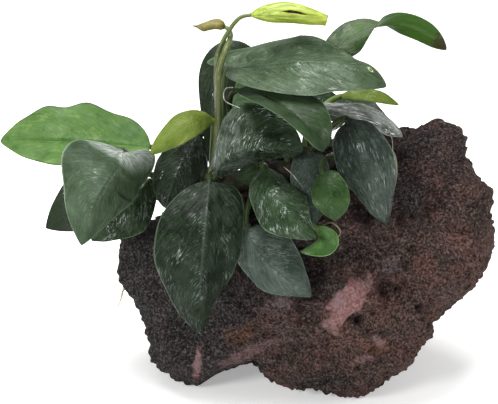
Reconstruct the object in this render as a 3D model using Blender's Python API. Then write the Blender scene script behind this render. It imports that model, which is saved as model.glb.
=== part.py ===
"""Anubias growing on a lava stone: a rooted aquarium plant with its flowers, fixed to one boulder."""

import math

import bmesh
import bpy
import numpy as np

# Lengths below are in millimetres, and angles in degrees.
MM = 0.001

# Everything is set out as a viewer sees it, looking down at the stone along a sloping line of sight.
# A place is (across, up, near): across and up are read on an upright sheet through the origin that
# faces the viewer, and near is how far the place stands in front of that sheet, along its own sight line.
SIGHT_SLOPE = 25.0
SIGHT_DISTANCE = 900.0
SIGHT_CENTRE_UP = 61.0

# The boulder stands on a flat worn patch. Its right end is nearer than its left end.
STONE_CENTRE = (24.0, 37.0, 29.0)
STONE_TURN = 0.1
STONE_FRONT = 40.0
STONE_BACK = 50.0
STONE_SQUARENESS = 0.86
# It is gridded finely, then thinned to this many triangles, most of them left where it is most uneven.
STONE_GRID = 40
STONE_TRIANGLES = 2950
# Its outline as seen, round the centre from the right-hand side over the top: (across, up).
STONE_OUTLINE = (
    (98, 44), (96, 58), (97, 66), (91, 72), (87, 79), (87, 86), (82, 92), (76, 93), (71.5, 92.5), (65.5, 89),
    (61, 91), (55, 88), (46, 87), (34, 86), (20, 82), (4, 76), (-14, 68), (-28, 60), (-38, 54), (-51, 48),
    (-52, 37), (-52, 30), (-46, 22), (-42, 14), (-40, 6), (-39, -3), (-36, -7), (-27, -11), (-20, -12),
    (-12, -7), (-4, -4), (3, 0), (6, -7), (12, -11), (23, -13), (33, -14), (40, -16), (47, -16), (53, -12),
    (57, -9), (63, -6), (68, 3), (74, 9), (73, 13), (83, 21), (88, 24), (93, 31), (96, 38),
)
# Lumps all over it (size, height, seed), scoops out of it (size, depth, seed), hollows at one place (place,
# radius, depth) and broken faces (direction, depth).
STONE_LUMPS = ((30.0, 3.0, 3), (13.0, 2.6, 5), (7.0, 1.5, 8))
STONE_SCOOPS = ((19.0, 7.0, 11), (11.0, 4.0, 17))
STONE_HOLLOWS = (
    ((6, -2, 58), 22, 8), ((62, 86, 50), 15, 5), ((64, 27, 66), 10, 4), ((-46, 12, 34), 14, 4),
    ((30, 42, -24), 24, 7), ((74, 62, -8), 20, 6), ((-22, 20, -14), 18, 5), ((20, -6, 62), 16, 5),
)
STONE_BREAKS = (
    ((0.11, -0.30, 0.95), 2.6), ((-0.62, -0.45, 0.64), 3.0), ((0.55, 0.35, 0.76), 2.4),
    ((0.35, 0.30, -0.90), 4.0), ((-0.65, 0.10, -0.75), 4.0), ((0.85, -0.10, -0.50), 3.0),
)

# The creeping stem lies over the upper front of the boulder, between its left and right ends.
RHIZOME_PATH = ((-34.0, 62.0, 31.0), (-11.5, 67.5, 48.0), (12.0, 73.0, 56.5), (36.0, 79.0, 62.0))
RHIZOME_RADIUS = 4.6
RHIZOME_STEPS = 14
RHIZOME_SIDES = 10
GAP = 0.35

# Leaves. foot is how far along the creeping stem the stalk starts and the angle round it, where 0 faces
# the viewer and 90 points up. spine runs from the top of the stalk to the tip of the blade. left and right
# are the halves as met going to the tip: the angle of each half from base to tip, positive where its edge
# comes nearer than the spine. half is the width of one half, widest is where that is along the spine, and
# lobe is how far the left and right lobes of the heart-shaped base reach back. bow is how far the stalk
# swings out to meet the blade in line, as a share of its length, where it isn't the usual STALK_BOW.
LEAVES = {
    "leaf_left_high": dict(
        foot=(0.16, 110), spine=((-39.5, 83, 31), (-60, 84.5, 31), (-80, 85.5, 32), (-99.5, 85.5, 29)),
        half=16.5, widest=0.47, left=(48, 54), right=(-25, -22), lobe=(3, 2)),
    "leaf_left_front": dict(
        foot=(0.08, 40), spine=((-51, 81.5, 66), (-54.6, 72.2, 73.5), (-60.3, 62.9, 74), (-67, 43.5, 70)),
        half=22.0, widest=0.40, left=(-16, -50, -54, -44, -25), right=(30, 9, -10, -19, -10),
        lobe=(14.6, 0.8), bow=0.06),
    "leaf_left_behind": dict(
        foot=(0.03, 140), spine=((-51, 69.5, 44), (-65.5, 60, 46), (-81.3, 50.5, 42)),
        half=12.5, widest=0.42, left=(-30, -30), right=(-10, -5), lobe=(1, 1)),
    "leaf_left_low": dict(
        foot=(0.02, 20), spine=((-40.5, 69, 46), (-51.5, 57, 52), (-63, 45.5, 49.5)),
        half=14.0, widest=0.40, left=(-35, -25), right=(-20, -20), lobe=(3, 2)),
    "leaf_young_left": dict(
        foot=(0.29, 110), spine=((-14.4, 93.5, 54), (-25.5, 91.5, 63), (-39.4, 80, 65)),
        half=5.9, widest=0.52, left=(10, 0), right=(-15, -30), lobe=(0, 0), bow=0.05),
    "leaf_left_middle": dict(
        foot=(0.19, 55), spine=((-19.3, 88, 49.4), (-27, 76.3, 54), (-33.5, 58.5, 50.5)),
        half=11.2, widest=0.54, left=(-10, -11, -21, -28, -35), right=(-42, -39, -36, -21, -5),
        lobe=(1.1, 0.1), bow=0.12),
    "leaf_front_left": dict(
        foot=(0.33, 20), spine=((-16, 69.5, 74), (-17.8, 48.6, 90), (-19.5, 26.6, 91), (-19.5, 8, 84)),
        half=20.6, widest=0.41, left=(-12, -36, -49, -52, -53), right=(-8, -12, -18, -25, -33),
        lobe=(9, 0.8)),
    "leaf_centre": dict(
        foot=(0.375, 48), spine=((-13.5, 72, 69.2), (-6.5, 79.6, 78.6), (5.7, 82.9, 81.3), (21.5, 81, 79.3)),
        half=20.0, widest=0.55, left=(-47, -42, -22, -29, -29), right=(-54, -62, -72, -72, -64),
        lobe=(1.8, 8)),
    "leaf_under_top": dict(
        foot=(0.46, 100), spine=((-4.5, 105.5, 66), (8.5, 102.5, 80), (21, 94, 90), (30.6, 82, 89)),
        half=12.0, widest=0.58, left=(-50, -20), right=(68, 66), lobe=(0, 0)),
    "leaf_top_large": dict(
        foot=(0.425, 70), spine=((-8, 114, 60), (12.2, 116.3, 73), (34.7, 115.7, 80), (55, 107, 80)),
        half=16.3, widest=0.47, left=(-70, -54, -48, -66, -66, -57), right=(68, 56, 41, 31, 38, 52),
        lobe=(24, 2), bow=0.1),
    "leaf_back_left": dict(
        foot=(0.38, 120), spine=((3.5, 115, 38), (-9.2, 117.4, 42), (-13.7, 103, 44), (-15.4, 74.5, 42)),
        half=8.4, widest=0.44, left=(-42, -6, 19, 28, 8), right=(-7, -15, -26, -28, -16), lobe=(2.7, 2.9)),
    "leaf_top_right": dict(
        foot=(0.68, 125), spine=((26, 112, 60), (44.3, 129.1, 64), (62.1, 131.5, 62), (79.1, 121.8, 60)),
        half=8.8, widest=0.49, left=(0, -15, -57, -79, -110, -138, -162),
        right=(-45, -9, 55, 107, 130, 158, 170), lobe=(0, 0)),
    "leaf_right_hanging": dict(
        foot=(0.92, 60), spine=((39.5, 94, 72), (44.5, 80, 83), (49.5, 66, 84), (55, 52, 80)),
        half=14.0, widest=0.38, left=(-22, -22), right=(-45, -40), lobe=(3, 8)),
    "leaf_right_flat": dict(
        foot=(0.86, 90), spine=((27.5, 99.5, 56), (40.5, 98, 58), (52.5, 94, 58), (61.5, 87, 56)),
        half=11.0, widest=0.45, left=(-77, -66), right=(72, 60), lobe=(2, 2)),
    "leaf_young_right": dict(
        foot=(0.82, 115), spine=((37, 103.3, 38.5), (48.5, 103.8, 41), (60, 99.8, 39)),
        half=3.2, widest=0.45, left=(-40, -30), right=(30, 30), lobe=(0, 0)),
    "leaf_small_oval": dict(
        foot=(0.98, 10), spine=((29.3, 73, 82), (33, 63, 88), (34.4, 53.2, 87)),
        half=8.0, widest=0.45, left=(-20, -20), right=(-15, -15), lobe=(2, 1)),
    "leaf_front_middle": dict(
        foot=(0.60, 35), spine=((6.5, 75, 66), (10.5, 64, 82), (17, 54.5, 88), (27, 46.5, 87)),
        half=12.5, widest=0.42, left=(-35, -35), right=(-25, -25), lobe=(3, 5)),
    "leaf_front_low": dict(
        foot=(0.56, -20), spine=((-1, 51, 71), (4.5, 40.5, 77), (14, 31, 79), (25, 23, 77)),
        half=13.5, widest=0.40, left=(-15, -15), right=(-42, -42), lobe=(3, 2)),
    "leaf_low_right": dict(
        foot=(0.62, -10), spine=((27, 50.5, 80), (31, 44.5, 82), (20.5, 41, 80)),
        half=4.6, widest=0.45, left=(15, 10), right=(-30, -20), lobe=(0, 0)),
    "leaf_middle_behind": dict(
        foot=(0.74, 50), spine=((24, 81, 68), (25, 66, 72.5), (25.5, 51, 73.5)),
        half=9.0, widest=0.40, left=(-20, -20), right=(-20, -20), lobe=(3, 3)),
    "leaf_tucked": dict(
        foot=(0.52, 60), spine=((3.2, 75.6, 61.4), (-0.7, 72.9, 62.2), (-5, 70.3, 61.8)),
        half=4.8, widest=0.45, left=(0, 0), right=(-45, -50), lobe=(0, 0)),
    "leaf_rear_high": dict(
        foot=(0.55, 140), spine=((5, 92, 36), (20, 101, 28), (38, 100, 16)),
        half=13.0, widest=0.40, left=(-35, -30), right=(30, 30), lobe=(0, 0)),
    "leaf_rear_left": dict(
        foot=(0.20, 150), spine=((-9, 90, 36), (-5, 102, 22), (3, 110, 6)),
        half=11.0, widest=0.40, left=(-20, -20), right=(15, 15), lobe=(3, 3)),
    "leaf_rear_right": dict(
        foot=(0.97, 95), spine=((37, 93, 36), (46, 98, 20), (56, 93.5, 0)),
        half=10.0, widest=0.40, left=(-50, -50), right=(45, 45), lobe=(3, 3)),
}
STALK_RADIUS = 1.1
# The lobes reach back over this share of the spine, counted from its base.
LOBE_END = 0.4
STALK_BOW = 0.3
LEAF_THICKNESS = 0.8
SECTION = ((0.0, 1), (0.55, 1), (1.0, 0), (0.55, -1), (0.0, -1), (-0.55, -1), (-1.0, 0), (-0.55, 1))
STALK_STEPS = 4
BLADE_STEPS = 9

# The two flower stalks rise one before the other, the tall one to the open flower and the thicker short one
# to a dried flower: the radius at the foot and at the top, then the places they pass.
FLOWER_STALKS = {
    "flower_stalk_tall": (
        (1.0, 0.8),
        ((-14.6, 73.5, 50.6), (-12.8, 92, 61.3), (-13.1, 113, 69), (-12.1, 121.4, 69.5),
         (-8.2, 129.2, 69.5), (-3.9, 134.5, 69.6), (0.1, 135.8, 69.8))),
    "flower_stalk_short": (
        (1.35, 1.0),
        ((-11.8, 74.3, 51.3), (-11.7, 86, 61.5), (-12.2, 102, 70), (-12, 113, 73), (-9.5, 121.4, 73),
         (-7.4, 127, 66.8), (-8.2, 130, 66))),
}
# The open flower: a leafy hood rolled round a spike, open along the side that faces the viewer.
HOOD_PATH = ((0.9, 135.9, 70), (8, 136.6, 70.4), (16.5, 136.9, 71), (25, 135.2, 71.6), (31.2, 133.7, 72))
HOOD_RADII = (1.0, 3.7, 4.2, 3.3, 2.0)
HOOD_WALL = 0.5
# Along it, in degrees: the gap between the hood's two edges, and where that gap faces.
HOOD_OPENING = (14, 9, 36, 42, 14)
HOOD_TURN = (30, 22, -2, 0, 5)
SPIKE_PATH = ((4.5, 136.9, 70.2), (12, 137.2, 70.8), (22, 136, 71.5))
SPIKE_RADII = (0.7, 1.2, 0.6)
BUD_PATH = ((-9.4, 131.0, 64.6), (-13, 132, 64.8), (-18.2, 131, 65), (-22.8, 131.5, 65.4))
BUD_RADII = (0.9, 2.35, 1.9, 0.15)

# Roots that hold to the boulder: the radius at both ends, then the places they pass.
ROOTS = {
    "root_left": (
        (0.45, 0.35),
        ((-42, 40, -2.5), (-47, 31, 1.5), (-50.2, 26, 7), (-51.2, 22.5, 11), (-52.5, 19, 13))),
    "root_right": (
        (0.5, 0.35),
        ((44, 82, 61.5), (52.5, 84.5, 57.5), (57.8, 80.5, 58.5), (59, 73, 64.2), (58, 66, 67))),
    "root_under_leaf": ((0.5, 0.35), ((40, 74.5, 64), (47, 72, 66.5), (53, 66, 69), (57, 58, 69.5))),
    "root_loop": ((0.35, 0.3), ((29.5, 52, 73), (33.5, 52.6, 74), (36.6, 49, 73), (34.2, 45.6, 71.7))),
    "root_front": ((0.55, 0.35), ((-3, 64, 56.5), (-1, 56, 63.5), (1, 47, 68), (0, 38, 70))),
    "root_rear": (
        (0.55, 0.35),
        ((-3, 75.5, 44), (-3, 78.3, 36), (-3.5, 79, 26), (-4.5, 77.2, 13), (-6, 70.6, -1.9),
         (-8, 60, -12.2))),
}

# Colours of the sub-parts as plain red, green and blue, then how rough they are.
LOOKS = {
    "lava": ((0.060, 0.036, 0.032), 0.9),
    "leaf_dark": ((0.030, 0.058, 0.030), 0.3),
    "leaf_light": ((0.110, 0.260, 0.070), 0.35),
    "leaf_young": ((0.330, 0.450, 0.090), 0.4),
    "rhizome": ((0.055, 0.060, 0.025), 0.6),
    "flower_stalk": ((0.130, 0.170, 0.050), 0.45),
    "flower": ((0.460, 0.520, 0.080), 0.45),
    "spike": ((0.300, 0.200, 0.060), 0.6),
    "dried_flower": ((0.330, 0.270, 0.070), 0.6),
    "root": ((0.420, 0.400, 0.220), 0.6),
}
LIGHT_LEAVES = ("leaf_left_high", "leaf_small_oval", "leaf_low_right", "leaf_top_right")
YOUNG_LEAVES = ("leaf_young_left", "leaf_young_right")


def sight_axes():
    """Unit vectors to the right, up the sheet and towards the viewer."""
    slope = math.radians(SIGHT_SLOPE)
    right = np.array([1.0, 0.0, 0.0])
    up = np.array([0.0, math.sin(slope), math.cos(slope)])
    near = np.array([0.0, -math.cos(slope), math.sin(slope)])
    return np.array([right, up, near])


def place(places):
    """World positions in metres of an array of (across, up, near)."""
    places = np.asarray(places, float)
    closer = 1 - places[..., 2:] / SIGHT_DISTANCE
    centre = np.array([0.0, SIGHT_CENTRE_UP])
    flat = centre + (places[..., :2] - centre) * closer
    return np.concatenate([flat, places[..., 2:]], axis=-1) @ sight_axes() * MM


def unit(vectors):
    """The same vectors at length 1."""
    return vectors / np.linalg.norm(vectors, axis=-1, keepdims=True)


def through(points, along):
    """A smooth curve through evenly spaced points: the polynomial that passes through all of them."""
    points = np.array(points, float)
    knots = np.linspace(0, 1, len(points))
    total = 0.0
    for index, point in enumerate(points):
        others = np.delete(knots, index)
        weight = np.prod((along[..., None] - others) / (knots[index] - others), axis=-1)
        total = total + weight[..., None] * point
    return total


def lattice(cell, seed):
    """Repeatable random numbers from -1 to 1 for whole-number cells."""
    mixed = cell[..., 0] * 73856093 ^ cell[..., 1] * 19349663 ^ cell[..., 2] * 83492791 ^ seed * 2654435761
    mixed = (mixed ^ (mixed >> 13)) * 1274126177 & 0xFFFFFFFF
    mixed = (mixed ^ (mixed >> 16)) & 0xFFFF
    return mixed / 32767.5 - 1


def bumps(points, size, seed):
    """Smooth noise from -1 to 1 whose lumps are about size across."""
    scaled = points / size
    cell = np.floor(scaled).astype(np.int64)
    part = scaled - cell
    ease = part * part * part * (part * (part * 6 - 15) + 10)
    total = 0.0
    for corner in np.ndindex(2, 2, 2):
        offset = np.array(corner)
        weight = np.prod(np.where(offset == 1, ease, 1 - ease), axis=-1)
        total = total + weight * lattice(cell + offset, seed)
    return total


def outline_radius(angle):
    """Distance from the stone's centre to its outline, at angles in radians."""
    corners = np.array(STONE_OUTLINE, float) - STONE_CENTRE[:2]
    turns = np.arctan2(corners[:, 1], corners[:, 0])
    order = np.argsort(turns)
    return np.interp(angle, turns[order], np.hypot(*corners.T)[order], period=2 * math.pi)


def stone_reach(outward):
    """How far the plain stone, without lumps, reaches in a direction."""
    rows = np.stack(np.meshgrid(np.linspace(-1, 1, 21), np.linspace(-1, 1, 21)), axis=-1).reshape(-1, 2)
    rows = rows[np.hypot(*rows.T) < 1]
    depth = np.sqrt(1 - np.sum(rows**2, axis=1)) * math.copysign(1, outward[2])
    reach = STONE_FRONT if outward[2] > 0 else STONE_BACK
    angle = np.arctan2(rows[:, 1], rows[:, 0])
    out = outline_radius(angle) * np.hypot(*rows.T) ** STONE_SQUARENESS
    flat = np.stack([out * np.cos(angle), out * np.sin(angle)], axis=1) + STONE_CENTRE[:2]
    near = STONE_CENTRE[2] + reach * np.sign(depth) * np.abs(depth) ** STONE_SQUARENESS
    near = near + STONE_TURN * (flat[:, 0] - STONE_CENTRE[0])
    return np.max(np.column_stack([flat, near]) @ outward)


def stone_places(directions):
    """Places on the stone for unit directions: the outline at the rim, rounder towards front and back."""
    across, up, near = directions.T
    angle = np.arctan2(up, across)
    rim = np.hypot(across, up)
    spread = np.radians(np.linspace(-30, 30, 9))
    smooth = np.mean([outline_radius(angle + turn) for turn in spread], axis=0)
    radius = smooth + (outline_radius(angle) - smooth) * rim**10
    out = radius * rim**STONE_SQUARENESS
    reach = np.where(near > 0, STONE_FRONT, STONE_BACK) * np.abs(near) ** STONE_SQUARENESS
    places = np.stack([out * np.cos(angle), out * np.sin(angle), np.sign(near) * reach], axis=1)
    lumps = sum(height * bumps(places, size, seed) for size, height, seed in STONE_LUMPS)
    for size, depth, seed in STONE_SCOOPS:
        lumps = lumps - depth * np.clip(bumps(places, size, seed) - 0.12, 0, 0.5)
    fade = 0.25 + 0.75 * (1 - rim**8)
    places = places + directions * (lumps * fade)[:, None]
    places[:, 2] += STONE_TURN * places[:, 0]
    places = places + np.array(STONE_CENTRE)
    for centre, radius, depth in STONE_HOLLOWS:
        closeness = np.clip(1 - np.sum((places - centre) ** 2, axis=1) / radius**2, 0, 1)
        places = places - directions * (depth * fade * closeness**2)[:, None]
    for direction, depth in STONE_BREAKS:
        outward = unit(np.array(direction))
        beyond = places @ outward - (stone_reach(outward) - depth)
        places = places - np.maximum(beyond, 0)[:, None] * outward
    return places


def rhizome_frame(along, angle):
    """Place of the creeping stem's axis and the unit direction at an angle round it."""
    along = np.asarray(along, float)
    centre = through(RHIZOME_PATH, along)
    ahead = unit(through(RHIZOME_PATH, along + 0.001) - centre)
    front = unit(np.array([0.0, 0.0, 1.0]) - ahead * ahead[..., 2:])
    over = unit(np.cross(front, ahead))
    over = over * np.where(over[..., 1:2] < 0, -1, 1)
    turn = np.radians(angle)
    return centre, np.cos(turn) * front + np.sin(turn) * over


def blade_sheet(leaf, along, side):
    """Places on the middle sheet of a blade, along from 0 to 1 and side from -1 on the left to 1."""
    spine = through(leaf["spine"], along)
    ahead = unit(through(leaf["spine"], along + 0.002) - through(leaf["spine"], along - 0.002))
    right = unit(np.stack([ahead[..., 1], -ahead[..., 0], 0 * along], axis=-1))
    facing = np.cross(ahead, right)
    facing = facing * np.where(facing[..., 2:] < 0, -1, 1)
    on_left = side < 0
    angles = [np.interp(along, np.linspace(0, 1, len(leaf[half])), leaf[half]) for half in ("left", "right")]
    tilt = np.radians(np.where(on_left, *angles))
    widest = leaf["widest"]
    inside = np.clip(along, 1e-6, 1 - 1e-6)
    rise = (inside / widest) ** (1.45 * widest) * ((1 - inside) / (1 - widest)) ** (1.45 * (1 - widest))
    width = leaf["half"] * rise
    sideways = (side * width * np.cos(tilt))[..., None] * right
    nearer = (np.abs(side) * width * np.sin(tilt))[..., None] * facing
    part = np.clip(along / LOBE_END, 0, 1)
    back = np.where(on_left, *leaf["lobe"]) * 6.75 * part * (1 - part) ** 2 * side**2
    return spine + sideways + nearer - back[..., None] * ahead


def blade_rings(leaf, along, section):
    """Closed rings of places round a blade at stations along it, for a section of (side, face)."""
    stations, sides = np.meshgrid(along, [side for side, face in section], indexing="ij")
    faces = np.array([face for side, face in section])
    sheet = blade_sheet(leaf, stations, sides)
    step = 0.004
    lengthwise = blade_sheet(leaf, stations + step, sides) - blade_sheet(leaf, stations - step, sides)
    inward = np.where(sides > 0, -step, step)
    crosswise = (blade_sheet(leaf, stations, sides + inward) - sheet) / inward[..., None]
    normal = np.cross(crosswise, lengthwise)
    normal = normal / np.maximum(np.linalg.norm(normal, axis=-1, keepdims=True), 1e-9)
    thick = 0.5 * LEAF_THICKNESS * (1 - 0.5 * np.abs(sides)) * faces
    return sheet + normal * thick[..., None]


def stalk_rings(leaf, radius, steps, sides):
    """Closed rings round a leaf stalk, from the creeping stem to the foot of the blade."""
    centre, outward = rhizome_frame(leaf["foot"][0], leaf["foot"][1])
    start = centre + outward * (RHIZOME_RADIUS + GAP)
    spine = np.array(leaf["spine"], float)
    ahead = unit(through(spine, np.array(0.01)) - spine[0])
    reach = np.linalg.norm(spine[0] - start)
    bow = leaf.get("bow", STALK_BOW)
    handles = [start, start + outward * reach * 0.35, spine[0] - ahead * reach * bow, spine[0]]
    t = np.linspace(0, 1, steps + 1)[:-1, None]
    weights = [(1 - t) ** 3, 3 * t * (1 - t) ** 2, 3 * t * t * (1 - t), t**3]
    axis = sum(weight * handle for weight, handle in zip(weights, handles))
    slopes = [(1 - t) ** 2, 2 * t * (1 - t), t * t]
    tangent = unit(sum(w * (b - a) for w, a, b in zip(slopes, handles[:-1], handles[1:])))
    right = unit(np.array([ahead[1], -ahead[0], 0.0]))
    rings = []
    turns = np.linspace(0, 2 * math.pi, sides, endpoint=False)[:, None]
    for centre, forward in zip(axis[::-1], tangent[::-1]):
        right = unit(right - forward * (right @ forward))
        facing = np.cross(right, forward)
        rings.append(centre + radius * (np.sin(turns) * right + np.cos(turns) * facing))
    return np.array(rings[::-1])


def smooth_path(points, steps):
    """Places along a path that bends evenly through all its points, with steps spans between two points."""
    points = np.array(points, float)
    ends = np.vstack([2 * points[0] - points[1], points, 2 * points[-1] - points[-2]])
    spans = []
    t = np.linspace(0, 1, steps, endpoint=False)[:, None]
    for before, start, finish, after in zip(ends[:-3], ends[1:-2], ends[2:-1], ends[3:]):
        bend = 2 * before - 5 * start + 4 * finish - after
        twist = 3 * start - before - 3 * finish + after
        spans.append(start + 0.5 * t * (finish - before) + 0.5 * t * t * bend + 0.5 * t**3 * twist)
    return np.vstack(spans + [points[-1:]])


def tube_frames(axis):
    """Unit directions along, to the side of and in front of each place on an axis that never faces near."""
    ahead = unit(np.gradient(axis, axis=0))
    side = unit(np.cross(ahead, np.array([0.0, 0.0, 1.0])))
    return ahead, side, np.cross(side, ahead)


def tube_rings(axis, radii, sides):
    """Round rings of the given radii square to an axis."""
    ahead, side, front = tube_frames(axis)
    turns = np.linspace(0, 2 * math.pi, sides, endpoint=False)
    across = np.cos(turns)[None, :, None] * side[:, None, :]
    facing = np.sin(turns)[None, :, None] * front[:, None, :]
    return axis[:, None, :] + np.asarray(radii)[:, None, None] * (across + facing)


def hood_rings():
    """Rings of the flower's hood: a bent wall round the axis, out along it and back on the inside."""
    axis = smooth_path(HOOD_PATH, 3)
    ahead, side, front = tube_frames(axis)
    knots = np.linspace(0, 1, len(HOOD_RADII))
    along = np.linspace(0, 1, len(axis))
    radii = np.interp(along, knots, HOOD_RADII)
    half_opening = np.radians(np.interp(along, knots, HOOD_OPENING) / 2)[:, None]
    middle = np.radians(np.interp(along, knots, HOOD_TURN))[:, None]
    share = np.linspace(0, 1, 9)
    share = np.concatenate([share, share[::-1]])[None, :]
    turns = middle + half_opening + share * 2 * (math.pi - half_opening)
    reach = np.repeat(radii[:, None], 18, axis=1)
    reach[:, 9:] -= HOOD_WALL
    facing = np.cos(turns)[..., None] * front[:, None, :] + np.sin(turns)[..., None] * side[:, None, :]
    return axis[:, None, :] + reach[..., None] * facing


def clear_scene():
    """Removes every object, so that the script starts from an empty scene."""
    for old in list(bpy.data.objects):
        bpy.data.objects.remove(old, do_unlink=True)


def make_looks():
    """One material for each kind of sub-part."""
    looks = {}
    for name, (colour, roughness) in LOOKS.items():
        look = bpy.data.materials.new(name)
        look.use_nodes = True
        shader = look.node_tree.nodes["Principled BSDF"]
        shader.inputs["Base Color"].default_value = (*colour, 1.0)
        shader.inputs["Roughness"].default_value = roughness
        looks[name] = look
    return looks


def add_solid(name, mesh_data, collection, look):
    """Puts a finished mesh in the plant's collection as a solid with outward faces."""
    bmesh.ops.recalc_face_normals(mesh_data, faces=mesh_data.faces)
    mesh = bpy.data.meshes.new(name)
    mesh_data.to_mesh(mesh)
    mesh_data.free()
    mesh.materials.append(look)
    solid = bpy.data.objects.new(name, mesh)
    collection.objects.link(solid)
    return solid


def add_loft(name, rings, collection, look, tip=None):
    """A closed skin over rings that have the same number of places, ending in a point where tip is given."""
    mesh_data = bmesh.new()
    loops = [[mesh_data.verts.new(corner) for corner in place(ring)] for ring in rings]
    for first, second in zip(loops[:-1], loops[1:]):
        for index in range(len(first)):
            after = (index + 1) % len(first)
            corners = [first[index], first[after], second[after], second[index]]
            if tip is None:
                mesh_data.faces.new(corners)
                continue
            # A thin blade's quads are cut in two alike above and below, or they'd cross where it twists.
            if index // 2 % 2:
                corners = corners[1:] + corners[:1]
            mesh_data.faces.new(corners[:3])
            mesh_data.faces.new(corners[2:] + corners[:1])
    mesh_data.faces.new(loops[0])
    if tip is None:
        mesh_data.faces.new(loops[-1])
    else:
        point = mesh_data.verts.new(place(tip))
        for index, corner in enumerate(loops[-1]):
            mesh_data.faces.new((corner, loops[-1][(index + 1) % len(loops[-1])], point))
    return add_solid(name, mesh_data, collection, look)


def finished_mesh(guide, collection):
    """The mesh that an object comes to, its curve or modifiers worked out; the object is removed."""
    collection.objects.link(guide)
    bpy.context.view_layer.update()
    graph = bpy.context.evaluated_depsgraph_get()
    mesh_data = bmesh.new()
    mesh_data.from_mesh(bpy.data.meshes.new_from_object(guide.evaluated_get(graph)))
    bpy.data.objects.remove(guide, do_unlink=True)
    return mesh_data


def thinned(mesh_data, triangles, collection):
    """The same closed skin with fewer triangles."""
    mesh = bpy.data.meshes.new("fine")
    mesh_data.to_mesh(mesh)
    mesh_data.free()
    guide = bpy.data.objects.new("fine_guide", mesh)
    modifier = guide.modifiers.new("thin", "DECIMATE")
    modifier.ratio = triangles / (2 * len(mesh.polygons))
    return finished_mesh(guide, collection)


def add_wire(name, places, radii, collection, look):
    """A round solid along a path: a bevelled curve turned into a mesh, from one radius to the other."""
    curve = bpy.data.curves.new(name, "CURVE")
    curve.dimensions = "3D"
    curve.bevel_depth = radii[0] * MM
    curve.bevel_resolution = 1
    curve.use_fill_caps = True
    spline = curve.splines.new("POLY")
    corners = place(places)
    spline.points.add(len(corners) - 1)
    shares = np.linspace(1, radii[1] / radii[0], len(corners))
    for point, corner, thinner in zip(spline.points, corners, shares):
        point.co = (*corner, 1.0)
        point.radius = thinner
    mesh_data = finished_mesh(bpy.data.objects.new(name + "_guide", curve), collection)
    bmesh.ops.remove_doubles(mesh_data, verts=mesh_data.verts, dist=0.00001)
    return add_solid(name, mesh_data, collection, look)


def make_stone(collection, look):
    """The boulder: a gridded ball pulled out to the stone, grooved under the stem and cut flat below."""
    mesh_data = bmesh.new()
    bmesh.ops.create_cube(mesh_data, size=2.0)
    bmesh.ops.subdivide_edges(mesh_data, edges=mesh_data.edges[:], cuts=STONE_GRID - 1, use_grid_fill=True)
    corners = np.array([corner.co[:] for corner in mesh_data.verts])
    directions = unit(np.tan(corners * math.pi / 4))
    places = stone_places(directions)
    axis, _ = rhizome_frame(np.linspace(-0.06, 1.06, 80), 0)
    clear = RHIZOME_RADIUS + 6 * GAP
    gap = places[:, None, :] - axis[None, :, :]
    distance = np.linalg.norm(gap, axis=2)
    closest = distance.argmin(axis=1)
    rows = np.arange(len(places))
    short = np.maximum(clear - distance[rows, closest], 0)
    inward = unit(np.array(STONE_CENTRE) - places)
    places = places + inward * (short * 1.8)[:, None]
    for corner, world in zip(mesh_data.verts, place(places)):
        corner.co = world
    mesh_data = thinned(mesh_data, STONE_TRIANGLES, collection)
    whole = mesh_data.verts[:] + mesh_data.edges[:] + mesh_data.faces[:]
    cut = bmesh.ops.bisect_plane(
        mesh_data, geom=whole, dist=0.00001, plane_co=(0, 0, 0), plane_no=(0, 0, -1), clear_outer=True)
    rim = [item for item in cut["geom_cut"] if isinstance(item, bmesh.types.BMEdge)]
    bmesh.ops.contextual_create(mesh_data, geom=rim)
    return add_solid("stone", mesh_data, collection, look)


def make_rhizome(collection, look):
    """The creeping stem, ringed with old leaf scars and rounded at both ends."""
    along = np.linspace(0, 1, RHIZOME_STEPS)
    axis, _ = rhizome_frame(along, 0)
    ends = np.sqrt(np.clip(1 - (2 * along - 1) ** 8, 0.12, 1))
    rings = 1 - 0.05 * (np.arange(RHIZOME_STEPS) % 2)
    rounds = tube_rings(axis, RHIZOME_RADIUS * ends * rings, RHIZOME_SIDES)
    return add_loft("rhizome", rounds, collection, look)


def make_leaf(name, leaf, collection, look):
    """A leaf with its stalk, drawn as one skin from the round stalk to the thin blade."""
    steps = BLADE_STEPS if leaf["half"] > 6 else BLADE_STEPS - 3
    along = 0.03 + 0.91 * np.linspace(0, 1, steps) ** 1.2
    blade = blade_rings(leaf, along, SECTION)
    stalk = stalk_rings(leaf, STALK_RADIUS, STALK_STEPS, len(SECTION))
    tip = blade_sheet(leaf, np.array(1.0), np.array(0.0))
    return add_loft(name, list(stalk) + list(blade), collection, look, tip)


def build_plant():
    """Makes every sub-part in one collection."""
    clear_scene()
    plant = bpy.data.collections.new("anubias_on_stone")
    bpy.context.scene.collection.children.link(plant)
    looks = make_looks()
    make_stone(plant, looks["lava"])
    make_rhizome(plant, looks["rhizome"])
    for name, leaf in LEAVES.items():
        kind = "leaf_light" if name in LIGHT_LEAVES else "leaf_young" if name in YOUNG_LEAVES else "leaf_dark"
        make_leaf(name, leaf, plant, looks[kind])
    for name, (radii, path) in FLOWER_STALKS.items():
        add_wire(name, smooth_path(path, 3), radii, plant, looks["flower_stalk"])
    add_loft("flower_hood", hood_rings(), plant, looks["flower"])
    for name, path, radii, kind in (
            ("flower_spike", SPIKE_PATH, SPIKE_RADII, "spike"),
            ("flower_dried", BUD_PATH, BUD_RADII, "dried_flower")):
        axis = smooth_path(path, 3)
        widths = np.interp(np.linspace(0, 1, len(axis)), np.linspace(0, 1, len(radii)), radii)
        add_loft(name, tube_rings(axis, widths, 8), plant, looks[kind])
    for name, (radii, path) in ROOTS.items():
        add_wire(name, smooth_path(path, 3), radii, plant, looks["root"])


build_plant()
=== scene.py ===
import math

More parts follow.
